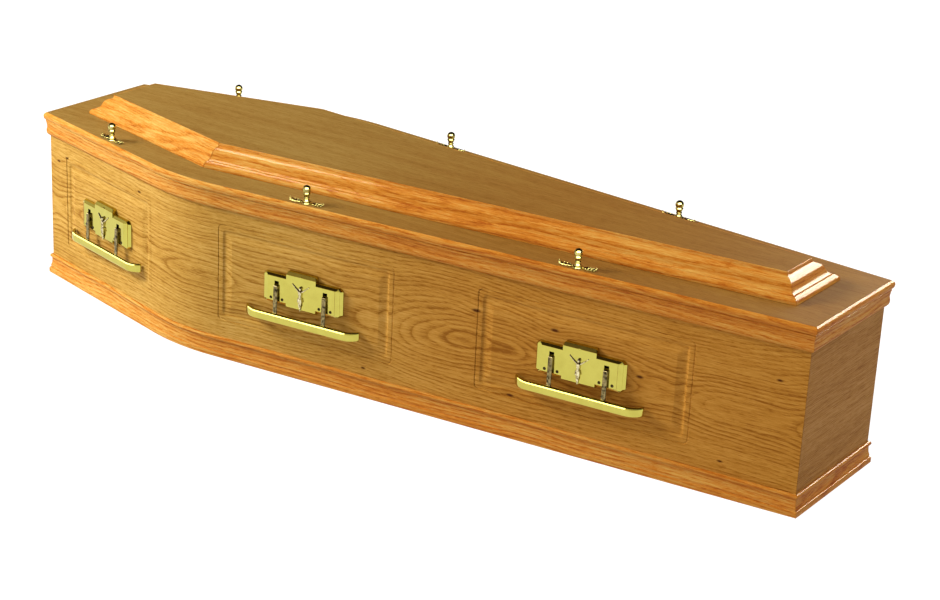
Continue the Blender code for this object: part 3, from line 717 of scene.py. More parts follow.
def plate_section(depth, end_bevel, share, inset=0.0):
    """The plate's outline at one depth: two wings and a taller middle, drawn in by its bevels."""
    half_width = PLATE_HALF_WIDTH - end_bevel - inset
    wing = WING_HALF_HEIGHT - WING_BEVEL * share - inset
    top = CENTRE_TOP - CENTRE_TOP_BEVEL * share - inset
    bottom = CENTRE_BOTTOM - CENTRE_BOTTOM_BEVEL * share - inset
    middle = CENTRE_HALF_WIDTH - inset
    clip = PLATE_CORNER_CLIP * (1 - share) + PLATE_EDGE_ROUNDING
    corners = [(half_width - clip, -wing), (half_width, clip - wing), (half_width, wing - clip),
               (half_width - clip, wing), (middle, wing), (middle, top - clip / 2),
               (middle - clip / 2, top)]
    corners += [(-u, v) for u, v in reversed(corners)]
    corners += [(-middle, -wing), (-middle, -bottom), (middle, -bottom), (middle, -wing)]
    return [(u, -depth, v) for u, v in corners]


def plate_body():
    """The plate: a thin upright edge, a low bevel, a ledge, an upright step, a bevel and a last step."""
    rounding = PLATE_EDGE_ROUNDING
    low_bevel = PLATE_END_BEVEL * 0.24
    low_share = 0.08
    ledge_bevel = low_bevel + PLATE_STEP_WIDTH
    ledge_share = low_share + 0.08
    ledge = PLATE_STEP_DEPTH + 0.0002
    front_step = PLATE_DEPTH - PLATE_STEP_HEIGHT
    return loft([
        plate_section(GAP, 0.0, 0.0),
        plate_section(PLATE_EDGE_DEPTH - rounding, 0.0, 0.0),
        plate_section(PLATE_EDGE_DEPTH, 0.0, 0.0, rounding * 0.3),
        plate_section(PLATE_STEP_DEPTH - rounding, low_bevel, low_share),
        plate_section(PLATE_STEP_DEPTH, low_bevel + rounding, low_share + 0.05),
        plate_section(ledge, ledge_bevel, ledge_share),
        plate_section(ledge + PLATE_STEP_HEIGHT, ledge_bevel, ledge_share),
        plate_section(front_step, PLATE_END_BEVEL, 1.0),
        plate_section(PLATE_DEPTH - rounding, PLATE_END_BEVEL, 1.0),
        plate_section(PLATE_DEPTH - rounding * 0.3, PLATE_END_BEVEL, 1.0, rounding * 0.3),
        plate_section(PLATE_DEPTH, PLATE_END_BEVEL, 1.0, rounding),
    ])


def pocket_cutter(centre):
    """The pocket that an arm's knuckle and neck turn in."""
    reach = math.hypot(PLATE_DEPTH + ARM_CLEARANCE + ARM_THICKNESS - HINGE_DEPTH, KNUCKLE_RADIUS)
    low = HINGE_ABOVE_CENTRE - KNUCKLE_RADIUS - ARM_CLEARANCE
    high = HINGE_ABOVE_CENTRE + reach + ARM_CLEARANCE
    front = PLATE_DEPTH + 2 * CUT_CLEARANCE
    width = ARM_WIDTH + 2 * POCKET_SIDE_CLEARANCE
    shape = bmesh.new()
    bmesh.ops.create_cube(shape, size=1.0)
    bmesh.ops.scale(shape, vec=(width, front - POCKET_BACK_WALL, high - low), verts=shape.verts)
    middle = (centre, -(front + POCKET_BACK_WALL) / 2, (high + low) / 2)
    bmesh.ops.translate(shape, vec=middle, verts=shape.verts)
    return shape


def limb(shape, start, end, start_radius, end_radius, segments=12):
    """Add a tapered, round-ended limb between two points."""
    start = Vector(start)
    end = Vector(end)
    axis = end - start
    turn = axis.to_track_quat("Z", "Y").to_matrix().to_4x4()
    bmesh.ops.create_cone(shape, cap_ends=True, segments=segments, radius1=start_radius,
                          radius2=end_radius, depth=axis.length,
                          matrix=Matrix.Translation((start + end) / 2) @ turn)
    for point, radius in ((start, start_radius), (end, end_radius)):
        lump(shape, point, (radius, radius, radius))


def lump(shape, centre, radii, turn=0.0, axis="Y"):
    """Add an ellipsoid, turned about one of its axes."""
    matrix = Matrix.Translation(centre) @ Matrix.Rotation(turn, 4, axis) @ Matrix.Diagonal((*radii, 1.0))
    bmesh.ops.create_uvsphere(shape, u_segments=14, v_segments=10, radius=1.0, matrix=matrix)


def melted(shape, name, voxel, passes):
    """Many overlapping lumps made one smooth skin."""
    return settled(mesh_from(shape, name), name, [
        ("REMESH", {"mode": "VOXEL", "voxel_size": voxel}),
        ("SMOOTH", {"factor": 0.5, "iterations": passes}),
    ])


def relief_figure():
    """A small traditional figure in relief with raised arms, its lengths as shares of its height."""
    h = FIGURE_HEIGHT
    shape = bmesh.new()

    def at(u, v, w):
        return Vector((u * h, -PLATE_DEPTH - 0.001 - w * h, v * h - FIGURE_FEET_BELOW_CENTRE))

    for place, radii in FIGURE_HEAD:
        lump(shape, at(*place), [radius * h for radius in radii], HEAD_TURN)
    for start, end, start_radius, end_radius in FIGURE_BODY:
        limb(shape, at(*start), at(*end), start_radius * h, end_radius * h)
    for fold in range(4):
        across = -0.06 + 0.04 * fold
        limb(shape, at(across, 0.50, 0.055), at(across * 1.2 + 0.01, 0.35, 0.06), 0.014 * h, 0.016 * h)
    for side in (-1, 1):
        for start, end, start_radius, end_radius in FIGURE_LIMBS:
            limb(shape, at(side * start[0], *start[1:]), at(side * end[0], *end[1:]),
                 start_radius * h, end_radius * h)
        for place, radii in FIGURE_PAIRS:
            lump(shape, at(side * place[0], *place[1:]), [radius * h for radius in radii])
    return melted(shape, "relief_figure", FIGURE_VOXEL, 2)


def fixing_head(centre_u, centre_v):
    """A small domed screw head with its slot, on the plate's front."""
    shape = bmesh.new()
    bmesh.ops.create_uvsphere(shape, u_segments=24, v_segments=16, radius=1.0)
    bmesh.ops.bisect_plane(shape, geom=shape.verts[:] + shape.edges[:] + shape.faces[:],
                           plane_co=(0, 0, 0), plane_no=(0, 0, -1), clear_outer=True)
    rim = [edge for edge in shape.edges if edge.is_boundary]
    bmesh.ops.contextual_create(shape, geom=rim)
    place = Matrix.Translation((centre_u, -PLATE_DEPTH + 0.0001, centre_v))
    turn = Matrix.Rotation(math.radians(90), 4, "X")
    scale = Matrix.Diagonal((FIXING_RADIUS, FIXING_RADIUS, FIXING_HEIGHT, 1.0))
    bmesh.ops.transform(shape, matrix=place @ turn @ scale, verts=shape.verts)
    slot = bmesh.new()
    bmesh.ops.create_cube(slot, size=1.0)
    depth = FIXING_HEIGHT * 1.2
    bmesh.ops.scale(slot, vec=(FIXING_RADIUS * 2.2, depth, FIXING_RADIUS * 0.34), verts=slot.verts)
    bmesh.ops.rotate(slot, matrix=Matrix.Rotation(FIXING_SLOT_TURN, 3, "Y"), verts=slot.verts)
    front = -PLATE_DEPTH - FIXING_HEIGHT * 0.45 - depth / 2
    bmesh.ops.translate(slot, vec=(centre_u, front, centre_v), verts=slot.verts)
    return carved(mesh_from(shape, "fixing"), "fixing", cuts=[slot])


def make_plate_mesh():
    """One handle plate with its pockets, figure, bosses and four small screw heads."""
    pockets = [pocket_cutter(-ARM_SPACING / 2), pocket_cutter(ARM_SPACING / 2)]
    plate = carved(mesh_from(plate_body(), "plate"), "plate", cuts=pockets)
    bosses = bmesh.new()
    for height in (CENTRE_TOP - CENTRE_TOP_BEVEL, -CENTRE_BOTTOM + CENTRE_BOTTOM_BEVEL):
        lump(bosses, (0, -PLATE_DEPTH + BOSS_RADIUS * 0.2, height), (BOSS_RADIUS, BOSS_RADIUS * 0.7,
                                                                     BOSS_RADIUS))
    parts = [(plate, 0), (relief_figure(), 2), (mesh_from(bosses, "bosses"), 0)]
    for arm in (-ARM_SPACING / 2, ARM_SPACING / 2):
        for aside in (-FIXING_FROM_ARM, FIXING_FROM_ARM):
            # Slot 1 holds the screw heads' near-black brass, a painted dark reflection
            parts.append((fixing_head(arm + aside, -FIXING_BELOW_CENTRE), 1))
    mesh = gathered(parts, "handle_plate")
    soften(mesh, EDGE_ANGLES["plate"])
    return mesh


def bar_stations():
    """Along the grip bar: each section's middle, the way to its front and its share of the height."""
    sweep = math.acos(1 - (BAR_FRONT - BAR_TIP_FRONT) / BAR_END_RADIUS)
    bend = BAR_HALF_LENGTH - BAR_TIP_THICKNESS / 2 - BAR_END_RADIUS * math.sin(sweep)
    stations = []
    for step in range(BAR_BEND_STEPS + 1):
        share = step / BAR_BEND_STEPS
        turn = sweep * share
        half = (BAR_THICKNESS + (BAR_TIP_THICKNESS - BAR_THICKNESS) * share) / 2
        out = Vector((math.sin(turn), math.cos(turn)))
        middle = Vector((bend, BAR_FRONT - BAR_END_RADIUS)) + out * (BAR_END_RADIUS - half)
        stations.append((middle, out * half, 1.0))
    tip, front, _ = stations[-1]
    ahead = Vector((front.y, -front.x))
    for degrees in BAR_TIP_STEPS:
        turn = math.radians(degrees)
        lost = (1 - math.cos(turn)) * BAR_TIP_THICKNESS / BAR_HEIGHT
        stations.append((tip + ahead * math.sin(turn), front * math.cos(turn), 1.0 - lost))
    flip = Vector((-1, 1))
    return [(middle * flip, front * flip, share) for middle, front, share in reversed(stations)] + stations


def grip_shape():
    """The grip bar: softly squared ovals from tip to tip."""
    sections = []
    for middle, front, share in bar_stations():
        section = []
        for step in range(BAR_SECTION_POINTS):
            angle = math.tau * (step + 0.5) / BAR_SECTION_POINTS
            squareness = BAR_SQUARENESS_ABOVE if math.sin(angle) > 0 else BAR_SQUARENESS_BELOW
            across = math.copysign(abs(math.cos(angle)) ** squareness, math.cos(angle))
            up = math.copysign(abs(math.sin(angle)) ** squareness, math.sin(angle))
            place = middle + front * across
            height = BAR_HEIGHT / 2 * (1 + up * share) - BAR_BELOW_HINGE
            section.append((place.x, HINGE_DEPTH - place.y, height))
        sections.append(section)
    return loft(sections)


def arm_outline():
    """An arm from the side: a knuckle, a neck out of its pocket and a strap down to the bar."""
    inner = PLATE_DEPTH + ARM_CLEARANCE - HINGE_DEPTH
    outer = inner + ARM_THICKNESS
    bar_back = BAR_FRONT - BAR_THICKNESS - HINGE_DEPTH
    bar_top = BAR_HEIGHT - BAR_BELOW_HINGE
    rooted = bar_top - BAR_HEIGHT * 0.5
    back = bar_back + BAR_THICKNESS * 0.12
    front = bar_back + ARM_THICKNESS
    shoulder = ARM_THICKNESS * 0.6
    points = arc((0, 0), (KNUCKLE_RADIUS, KNUCKLE_RADIUS), 270, 90, 10)
    points += arc((outer - shoulder, KNUCKLE_RADIUS - shoulder), (shoulder, shoulder), 90, 0, 4)
    points += [(front, bar_top), (front, rooted), (back, rooted), (back, bar_top)]
    points += [(inner, -KNUCKLE_RADIUS - ARM_THICKNESS * 0.4), (inner, -KNUCKLE_RADIUS)]
    return points


def make_bar_mesh():
    """The grip bar and its two arms as one casting, with its origin on the hinge."""
    grip = mesh_from(grip_shape(), "grip")
    arms = []
    for centre in (-ARM_SPACING / 2, ARM_SPACING / 2):
        side_view = Matrix(((0, 0, 1, centre), (-1, 0, 0, 0), (0, 1, 0, 0), (0, 0, 0, 1)))
        arm = settled(mesh_from(prism(arm_outline(), ARM_WIDTH, side_view), "arm"), "arm", [
            ("BEVEL", {"width": ARM_EDGE_RADIUS, "segments": 4, "limit_method": "ANGLE",
                       "angle_limit": ARM_EDGE_ANGLE})])
        # Slot 1 holds the arms' near-black brass, a painted dark reflection
        arms.append((arm, 1))
    mesh = gathered([(grip, 0)] + arms, "handle_bar")
    soften(mesh, EDGE_ANGLES["bar"])
    return mesh


def placed(mesh, matrix, name):
    """A copy of a shared mesh, set in place."""
    copy = mesh.copy()
    copy.name = name
    copy.transform(matrix)
    return copy


def make_handles():
    """Three handles on each side: the plate on the coffin, the bar on its own hinge."""
    plate = make_plate_mesh()
    bar = make_bar_mesh()
    lift = Matrix.Translation((0, 0, PLATE_CENTRE_HEIGHT))
    hinge = Matrix.Translation((0, -HINGE_DEPTH, HINGE_ABOVE_CENTRE))
    for side, hand in HANDS.items():
        for place, (run, along, _) in HANDLE_PLACES.items():
            label = side + "_" + place
            holder = run_frame(run, along, hand) @ lift
            name = "handle_plate_" + label
            add_piece(name, placed(plate, holder, name), [BRASS, FIXING_PAINTED_REFLECTION_BRASS, FIGURE_BRASS], "brass",
                      even_shading=True)
            name = "handle_bar_" + label
            add_piece(name, placed(bar, holder @ hinge, name), [BRASS, ARM_PAINTED_REFLECTION_BRASS], "brass",
                      body="bar_" + label, even_shading=True)


def screw_profile():
    """The turned screw from its top down, as (radius, height above its foot)."""
    ball_middle = SCREW_HEIGHT - SCREW_BALL_RADIUS
    ball = arc((0, ball_middle), (SCREW_BALL_RADIUS, SCREW_BALL_RADIUS), 90, -38, 16)
    ball[0] = (0.0, SCREW_HEIGHT)
    cup = ball_middle - SCREW_BALL_RADIUS * 0.85
    bead = SCREW_NECK_RADIUS * 0.30
    turned = [(SCREW_CUP_RADIUS * 0.93, cup * 1.05), (SCREW_CUP_RADIUS, cup * 0.98),
              (SCREW_CUP_RADIUS * 0.94, cup * 0.90), (SCREW_NECK_RADIUS * 1.10, cup * 0.70),
              (SCREW_NECK_RADIUS * 0.92, cup * 0.60)]
    turned += arc((SCREW_NECK_RADIUS - bead * 0.4, cup * 0.50), (bead, cup * 0.07), 80, -80, 6)
    turned += [(SCREW_NECK_RADIUS * 0.92, cup * 0.40), (SCREW_FOOT_RADIUS * 0.84, cup * 0.25),
               (SCREW_FOOT_RADIUS * 0.97, cup * 0.18), (SCREW_FOOT_RADIUS, cup * 0.10),
               (SCREW_FOOT_RADIUS, 0.0), (0.0, 0.0)]
    return ball + turned


def make_screw_mesh():
    """One turned lid screw, which all six share."""
    mesh = mesh_from(turned(screw_profile(), SCREW_SEGMENTS), "lid_screw")
    soften(mesh, EDGE_ANGLES["screw"])
    return mesh


def make_screw_plate_mesh():
    """The lid screw's plate: a round dished boss between two sprays of curling leaves."""
    half_length = SCREW_PLATE_LENGTH / 2
    thickness = SCREW_PLATE_THICKNESS
    width = SCREW_LEAF_HALF_WIDTH
    dish = [(0.0, 0.0), (1.0, 0.0), (1.0, 0.6), (0.94, 1.0), (0.86, 1.0), (0.80, 0.75), (0.0, 0.98)]
    boss = turned([(SCREW_BOSS_RADIUS * out, thickness * up) for out, up in dish], BOSS_SEGMENTS)
    leaves = bmesh.new()
    for side in (-1, 1):
        limb(leaves, (side * SCREW_BOSS_RADIUS * 0.9, 0, thickness * 0.5),
             (side * half_length * 0.93, 0, thickness * 0.6), thickness * 0.60, thickness * 0.42)
        for along, across, length, turn in SPRAY_LEAVES:
            for hand in (-1, 1):
                centre = Vector((side * half_length * along, hand * width * across, thickness * 0.55))
                radii = (half_length * length, width * 0.27, thickness * 0.80)
                lump(leaves, centre, radii, side * hand * turn, "Z")
                tip = centre + Vector((side * half_length * length * 0.75, hand * width * 0.30,
                                       thickness * 0.35))
                lump(leaves, tip, (width * 0.17, width * 0.17, thickness * 0.75))
        points = [Vector((side * half_length * along, 0, thickness * up)) for along, up in SPRAY_CURL]
        for step, (first, second) in enumerate(zip(points, points[1:])):
            radius = thickness * (0.44 - 0.04 * step)
            limb(leaves, first, second, radius, radius * 0.92)
        lump(leaves, points[-1], (thickness * 0.42, thickness * 0.42, thickness * 0.42))
    sprays = bmesh.new()
    sprays.from_mesh(melted(leaves, "leaf_sprays", SPRAY_VOXEL, 1))
    for vertex in sprays.verts:
        vertex.co.z = max(vertex.co.z, 0.0)
    mesh = gathered([(mesh_from(boss, "boss"), 0), (mesh_from(sprays, "sprays"), 0)], "lid_screw_plate")
    soften(mesh, EDGE_ANGLES["spray"])
    return mesh


def make_lid_screws():
    """Three screws along each side of the lid, on their plates, over the middle of the side board."""
    screw = make_screw_mesh()
    plate = make_screw_plate_mesh()
    inward = Matrix.Translation((0, SIDE_THICKNESS / 2, LID_TOP + GAP))
    above = Matrix.Translation((0, 0, SCREW_PLATE_THICKNESS + GAP))
    for side, hand in HANDS.items():
        for place, from_head in SCREW_PLACES.items():
            if from_head < SHOULDER_FROM_HEAD:
                holder = run_frame("head", from_head / math.cos(HEAD_ANGLE), hand)
            else:
                past_shoulder = from_head - SHOULDER_FROM_HEAD
                holder = run_frame("foot", past_shoulder / math.cos(FOOT_ANGLE), hand)
            label = side + "_" + place
            name = "lid_screw_plate_" + label
            add_piece(name, placed(plate, holder @ inward, name), [SCREW_BRASS], "brass")
            name = "lid_screw_" + label
            add_piece(name, placed(screw, holder @ inward @ above, name), [SCREW_BRASS], "brass")


# Oak: rings are distances from a heart line that comes and goes behind the face, which draws
# arched figure near the heart and straight lines away from it.

SEED_ACROSS = 0.37
SEED_INWARD = 0.21
PLAIN_OAK = {
    "pitch": 0.0060, "heart": 0.60, "depth": 0.030, "swing": 0.015, "arches": 2.6,
    "wander": 0.008, "ripple": 0.0008, "tremor": 0.0005, "seed": 0.0,
    "line_share": 0.60, "streak_share": 0.46, "calm": 0.62, "relief": 0.25, "drift": 1.0,
    "sheen": 0.03, "varnish": 0.03, "varnish_roughness": 0.14,
}

# How many lumps of each pattern fit in a metre along the grain, across it and in depth
SWAY = (1.7, 5.0, 5.0)
RIPPLES = (9.0, 42.0, 42.0)
TREMORS = (40.0, 170.0, 170.0)
STREAKS = (24.0, 350.0, 350.0)
BROAD_BANDS = (3.4, 52.0, 52.0)
PATCHES = (2.2, 9.0, 9.0)
PORES = (60.0, 520.0, 520.0)
BAND_SHARE = 0.20
PATCH_SHARE = 0.16
PORE_SHARE = 0.42

# How dark a ring is, from its late wood through its pale early wood to the next
RING_SHADES = ((0.0, 0.90), (0.06, 1.0), (0.22, 0.62), (0.50, 0.16), (0.80, 0.06), (0.95, 0.34),
               (1.0, 0.90))
RING_DRIFT = 0.73
LINE_DRIFT = 1.9

# Rings are boldest near the heart and calmest away from it
BOLD_WITHIN = 0.05
CALM_BEYOND = 0.12
BOLDNESS = 1.15

# Painted light: the wood is tinted lighter and yellower from one place along the coffin to another, nearer
# its head, standing in for the brighter, whiter light that falls there
PAINTED_LIGHT_START = 0.45
PAINTED_LIGHT_END = -0.35
PAINTED_LIGHT_TINT = (1.07, 1.34, 1.85, 1.0)
GRAIN_RELIEF = 0.00035
OAK_ROUGHNESS = (0.36, 0.56)
OAK_IOR = 1.46
VARNISH_IOR = 1.5

# A knot's shape along the grain, how far it pushes the rings aside and how dark its middle is
KNOT_STRETCH = (0.40, 1.0, 0.0)
KNOT_REACH = 6.0
KNOT_PUSH = 1.6
KNOT_DARKNESS = 0.95


def grain_place(recipe, source):
    """The place in the grain: stored on the piece, or read along or across the coffin."""
    if source == "stored":
        return recipe.node("Attribute", {}, 1, attribute_name="grain", attribute_type="GEOMETRY")
    place = recipe.node("TexCoord", {}, 3)
    x, y, z = recipe.parts(place)
    if source == "lengthwise":
        return recipe.join(x, y, 0.0)
    return recipe.join(y, z, 0.0)


def knot_field(recipe, place, knots):
    """How near the closest knots are, from 0 to 1, and how dark their middles are."""
    bulge = 0.0
    dark = 0.0
    for along, up, radius in knots:
        away = recipe.vector("SUBTRACT", place, (along, up, 0.0))
        away = recipe.vector("MULTIPLY", away, KNOT_STRETCH)
        distance = recipe.vector("LENGTH", away, (0.0, 0.0, 0.0), 1)
        near = recipe.remap(distance, radius * KNOT_REACH, 0.0, 0.0, radius * KNOT_PUSH, smooth=True)
        middle = recipe.remap(distance, radius * 1.25, radius * 0.3, smooth=True)
        bulge = recipe.maths("ADD", bulge, near)
        dark = recipe.maths("ADD", dark, middle)
    return bulge, dark


def ring_distance(recipe, place, inward, look):
    """How far each point lies from the heart line, as the rings see it."""
    along, across, _ = recipe.parts(place)
    moved = recipe.maths("SUBTRACT", across, look["heart"] + look["seed"] * SEED_ACROSS)
    for stretch, detail, reach in ((SWAY, 1.0, look["wander"]), (RIPPLES, 2.0, look["ripple"]),
                                   (TREMORS, 2.0, look["tremor"])):
        wave = recipe.noise(place, stretch, detail)
        moved = recipe.maths("ADD", moved, recipe.remap(wave, 0.0, 1.0, -reach, reach))
    rise = recipe.noise(recipe.join(along, 0.0, 0.0), (look["arches"], 1.0, 1.0), 1.5)
    deep = recipe.remap(rise, 0.25, 0.75, look["depth"] - look["swing"], look["depth"] + look["swing"])
    deep = recipe.maths("ADD", deep, inward)
    squares = recipe.maths("ADD", recipe.maths("MULTIPLY", moved, moved),
                           recipe.maths("MULTIPLY", deep, deep))
    return recipe.maths("SQRT", squares)


def make_oak(name, source, colours, knots=(), **changes):
    """Varnished oak; lengths are in metres and colours run from light to dark wood."""
    look = {**PLAIN_OAK, **changes}
    recipe = new_material(name)
    place = grain_place(recipe, source)
    bulge, knot_dark = knot_field(recipe, place, knots)
    seed = look["seed"]
    _, _, inward = recipe.parts(place)
    place = recipe.vector("ADD", place, (seed, seed * SEED_ACROSS, seed * SEED_INWARD))
    along, _, _ = recipe.parts(place)

    reach = ring_distance(recipe, place, inward, look)
    bold = recipe.remap(reach, BOLD_WITHIN, CALM_BEYOND, BOLDNESS, look["calm"], smooth=True)
    rings = recipe.maths("DIVIDE", recipe.maths("ADD", reach, bulge), look["pitch"])
    within = recipe.maths("FRACT", rings)
    line = recipe.ramp(within, [(position, (level,) * 3) for position, level in RING_SHADES])
    strength_place = recipe.join(recipe.maths("MULTIPLY", rings, RING_DRIFT),
                                 recipe.maths("MULTIPLY", along, LINE_DRIFT), 0.0)
    strength = recipe.noise(strength_place, (1.0, 1.0, 1.0), 2.0)
    strength = recipe.maths("MULTIPLY", recipe.remap(strength, 0.32, 0.66, 0.16, 1.0), bold)
    streak = recipe.remap(recipe.noise(place, STREAKS, 4.0, 0.72), 0.30, 0.70)
    band = recipe.remap(recipe.noise(place, BROAD_BANDS, 2.0), 0.30, 0.70)
    patch = recipe.remap(recipe.noise(place, PATCHES, 2.0), 0.30, 0.70)
    pore = recipe.remap(recipe.noise(place, PORES, 2.0, 0.7), 0.47, 0.66)
    pore = recipe.maths("MULTIPLY", pore, recipe.remap(within, 0.60, 0.0, 0.30, 1.0))

    lines = recipe.maths("MULTIPLY", recipe.maths("MULTIPLY", line, strength),
                         recipe.remap(streak, 0.0, 1.0, 0.45, 1.35))
    dark = recipe.maths("MULTIPLY", lines, look["line_share"])
    for layer, share in ((streak, look["streak_share"]), (band, BAND_SHARE), (patch, PATCH_SHARE),
                         (pore, PORE_SHARE)):
        dark = recipe.maths("ADD", dark, recipe.maths("MULTIPLY", layer, share))
    light, middle, deep_tone, knot_tone = colours
    colour = recipe.ramp(dark, [(0.22, light), (0.56, middle), (0.98, deep_tone)])
    # Painted light: lighter, yellower colour towards the head, in place of its brighter, whiter light
    x, _, _ = recipe.parts(recipe.node("TexCoord", {}, 3))
    painted_light_share = recipe.remap(x, PAINTED_LIGHT_START, PAINTED_LIGHT_END, 0.0, look["drift"], smooth=True)
    colour = recipe.tint(painted_light_share, colour, recipe.tint(1.0, colour, PAINTED_LIGHT_TINT, "MULTIPLY"))
    if knots:
        knot_dark = recipe.maths("MULTIPLY", knot_dark, KNOT_DARKNESS)
        colour = recipe.tint(knot_dark, colour, (*knot_tone, 1.0))

    rough = recipe.remap(dark, 0.0, 1.0, *OAK_ROUGHNESS)
    rise = recipe.maths("ADD", recipe.maths("MULTIPLY", pore, -1.0),
                        recipe.maths("MULTIPLY", streak, -0.35))
    relief = recipe.bump(rise, look["relief"], GRAIN_RELIEF)
    return recipe.finish(Base_Color=colour, Roughness=rough, Normal=relief,
                         Specular_IOR_Level=look["sheen"], Coat_Weight=look["varnish"],
                         Coat_Roughness=look["varnish_roughness"], Coat_IOR=VARNISH_IOR, IOR=OAK_IOR)


# Knots on each side veneer, as (along the side from its bend, height, radius)
NEAR_KNOTS = ((0.813, 0.250, 0.0044), (0.988, 0.250, 0.0042), (1.175, 0.199, 0.0036),
              (0.898, 0.089, 0.0036), (0.555, 0.062, 0.0026), (1.456, 0.263, 0.0030),
              (1.353, 0.070, 0.0028), (-0.407, 0.280, 0.0030), (-0.372, 0.296, 0.0028),
              (-0.067, 0.303, 0.0032))
FAR_KNOTS = ((-0.250, 0.270, 0.0032), (0.310, 0.232, 0.0034), (0.720, 0.118, 0.0030),
             (1.240, 0.262, 0.0034))

# Wood colours, each from its light wood to its dark lines and its knots
SIDE_TONES = ((0.580, 0.292, 0.056), (0.460, 0.204, 0.028), (0.270, 0.096, 0.009), (0.070, 0.016, 0.003))
TOP_TONES = ((0.306, 0.149, 0.027), (0.252, 0.107, 0.016), (0.155, 0.054, 0.006), (0.070, 0.016, 0.003))
END_TONES = ((0.480, 0.236, 0.056), (0.380, 0.168, 0.031), (0.228, 0.084, 0.012), (0.080, 0.018, 0.003))
SOLID_TONES = ((0.640, 0.350, 0.075), (0.560, 0.200, 0.022), (0.360, 0.088, 0.008), (0.150, 0.032, 0.004))
INSIDE_TONES = ((0.560, 0.350, 0.150), (0.470, 0.270, 0.100), (0.340, 0.170, 0.055), (0.160, 0.060, 0.018))

SIDE_FIGURE = {"pitch": 0.0078, "heart": 0.178, "depth": 0.034, "swing": 0.036, "arches": 2.9,
               "wander": 0.040, "ripple": 0.0030, "tremor": 0.0012}
SIDE_VENEER = [
    make_oak("near_side_veneer", "stored", SIDE_TONES, NEAR_KNOTS, **SIDE_FIGURE),
    make_oak("far_side_veneer", "stored", SIDE_TONES, FAR_KNOTS, **SIDE_FIGURE, seed=7.3),
]
LID_VENEER = make_oak("lid_veneer", "lengthwise", TOP_TONES, seed=3.1, pitch=0.0055, line_share=0.34,
                      streak_share=0.36, drift=1.0, sheen=0.01, varnish=0.0)
RAISED_VENEER = make_oak("raised_board_veneer", "lengthwise", TOP_TONES, seed=5.7, pitch=0.0055,
                         heart=-0.55, line_share=0.34, streak_share=0.36, drift=1.0, sheen=0.01,
                         varnish=0.0)
END_VENEER = make_oak("end_veneer", "crosswise", END_TONES, seed=1.9, pitch=0.0042, line_share=0.44,
                      wander=0.003)
BASE_BOARD_OAK = make_oak("base_board_oak", "lengthwise", INSIDE_TONES, seed=9.2, varnish=0.0)
SOLID_OAK = make_oak("varnished_solid_oak", "stored", SOLID_TONES, pitch=0.0075, heart=0.46, depth=0.060,
                     swing=0.030, wander=0.026, ripple=0.0022, sheen=0.01, varnish=0.13,
                     varnish_roughness=0.06, relief=0.12, drift=0.35)


RUBBING_MARKS = (900.0, 900.0, 260.0)
BRASS_WAVES = (60.0, 60.0, 60.0)
BRASS_RELIEF = 0.0006


def make_brass(name, colour, shade, roughness, mottle=45.0):
    """Polished brass with faint waves, fine rubbing marks and a little darkening."""
    recipe = new_material(name)
    place = recipe.node("TexCoord", {}, 3)
    cloud = recipe.noise(place, (mottle, mottle, mottle), 3.0)
    rubbed = recipe.noise(place, RUBBING_MARKS, 2.0)
    colour = recipe.ramp(cloud, [(0.30, shade), (0.62, colour)])
    rough = recipe.remap(recipe.maths("ADD", cloud, rubbed), 0.7, 1.3, roughness * 0.6, roughness * 1.5)
    wave = recipe.noise(place, BRASS_WAVES, 1.0)
    height = recipe.maths("ADD", wave, recipe.maths("MULTIPLY", rubbed, 0.06))
    relief = recipe.bump(height, 0.05, BRASS_RELIEF)
    return recipe.finish(Base_Color=colour, Metallic=1.0, Roughness=rough, Normal=relief)


BRASS = make_brass("polished_brass", (0.540, 0.482, 0.098), (0.500, 0.440, 0.085), 0.09)
# Painted reflection: the arms' brass is near black with bright random flecks, standing in for the dark
# surroundings and sparkle that the arms mirror
ARM_PAINTED_REFLECTION_BRASS = make_brass("arm_brass_painted_reflection", (0.300, 0.235, 0.100), (0.014, 0.009, 0.004), 0.10, 160.0)
SCREW_BRASS = make_brass("pale_brass", (0.580, 0.505, 0.165), (0.310, 0.250, 0.075), 0.11)
FIGURE_BRASS = make_brass("figure_brass", (0.800, 0.720, 0.430), (0.200, 0.145, 0.045), 0.12, 240.0)
# Painted reflection: the small screw heads are near black, in place of the dark surroundings that their
# domes mirror
FIXING_PAINTED_REFLECTION_BRASS = make_brass("fixing_brass_painted_reflection", (0.070, 0.050, 0.018), (0.035, 0.022, 0.008), 0.20)


def finish_carried_boards():
    """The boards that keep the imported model's own shape get their veneers."""
    finishes = {"base_board": BASE_BOARD_OAK, "head_board": END_VENEER, "foot_board": END_VENEER,
                "lid_board": LID_VENEER, "raised_board": RAISED_VENEER}
    for name, material in finishes.items():
        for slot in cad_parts[name].material_slots:
            slot.material = material


# The studio: the sine of the height at which its walls end and its ceiling starts, and their levels
WALL_TOP = 0.34
CEILING_START = 0.48
CEILING_SHARE = 0.06
BRIGHT_WALL = (-0.25, -0.55, 0.0)
WALL_LEVEL = 0.35
WALL_LEAST = 0.12
WARM_FILL = (1.0, 0.90, 0.74, 1.0)
BROWN_CEILING = (1.0, 0.62, 0.40, 1.0)
CEILING_POWER = 0.7
FLOOR_GLOW = 0.96
FLOOR_PAINT = (0.20, 0.20, 0.20, 1.0)
FLOOR_HALF_WIDTH = 30.0
FLOOR_DROP = 0.0005
SOFT_SUN_ANGLE = math.radians(90)
VIEW_LIMIT = 100.0
WHITE_LAMP = (1.0, 1.0, 1.0)

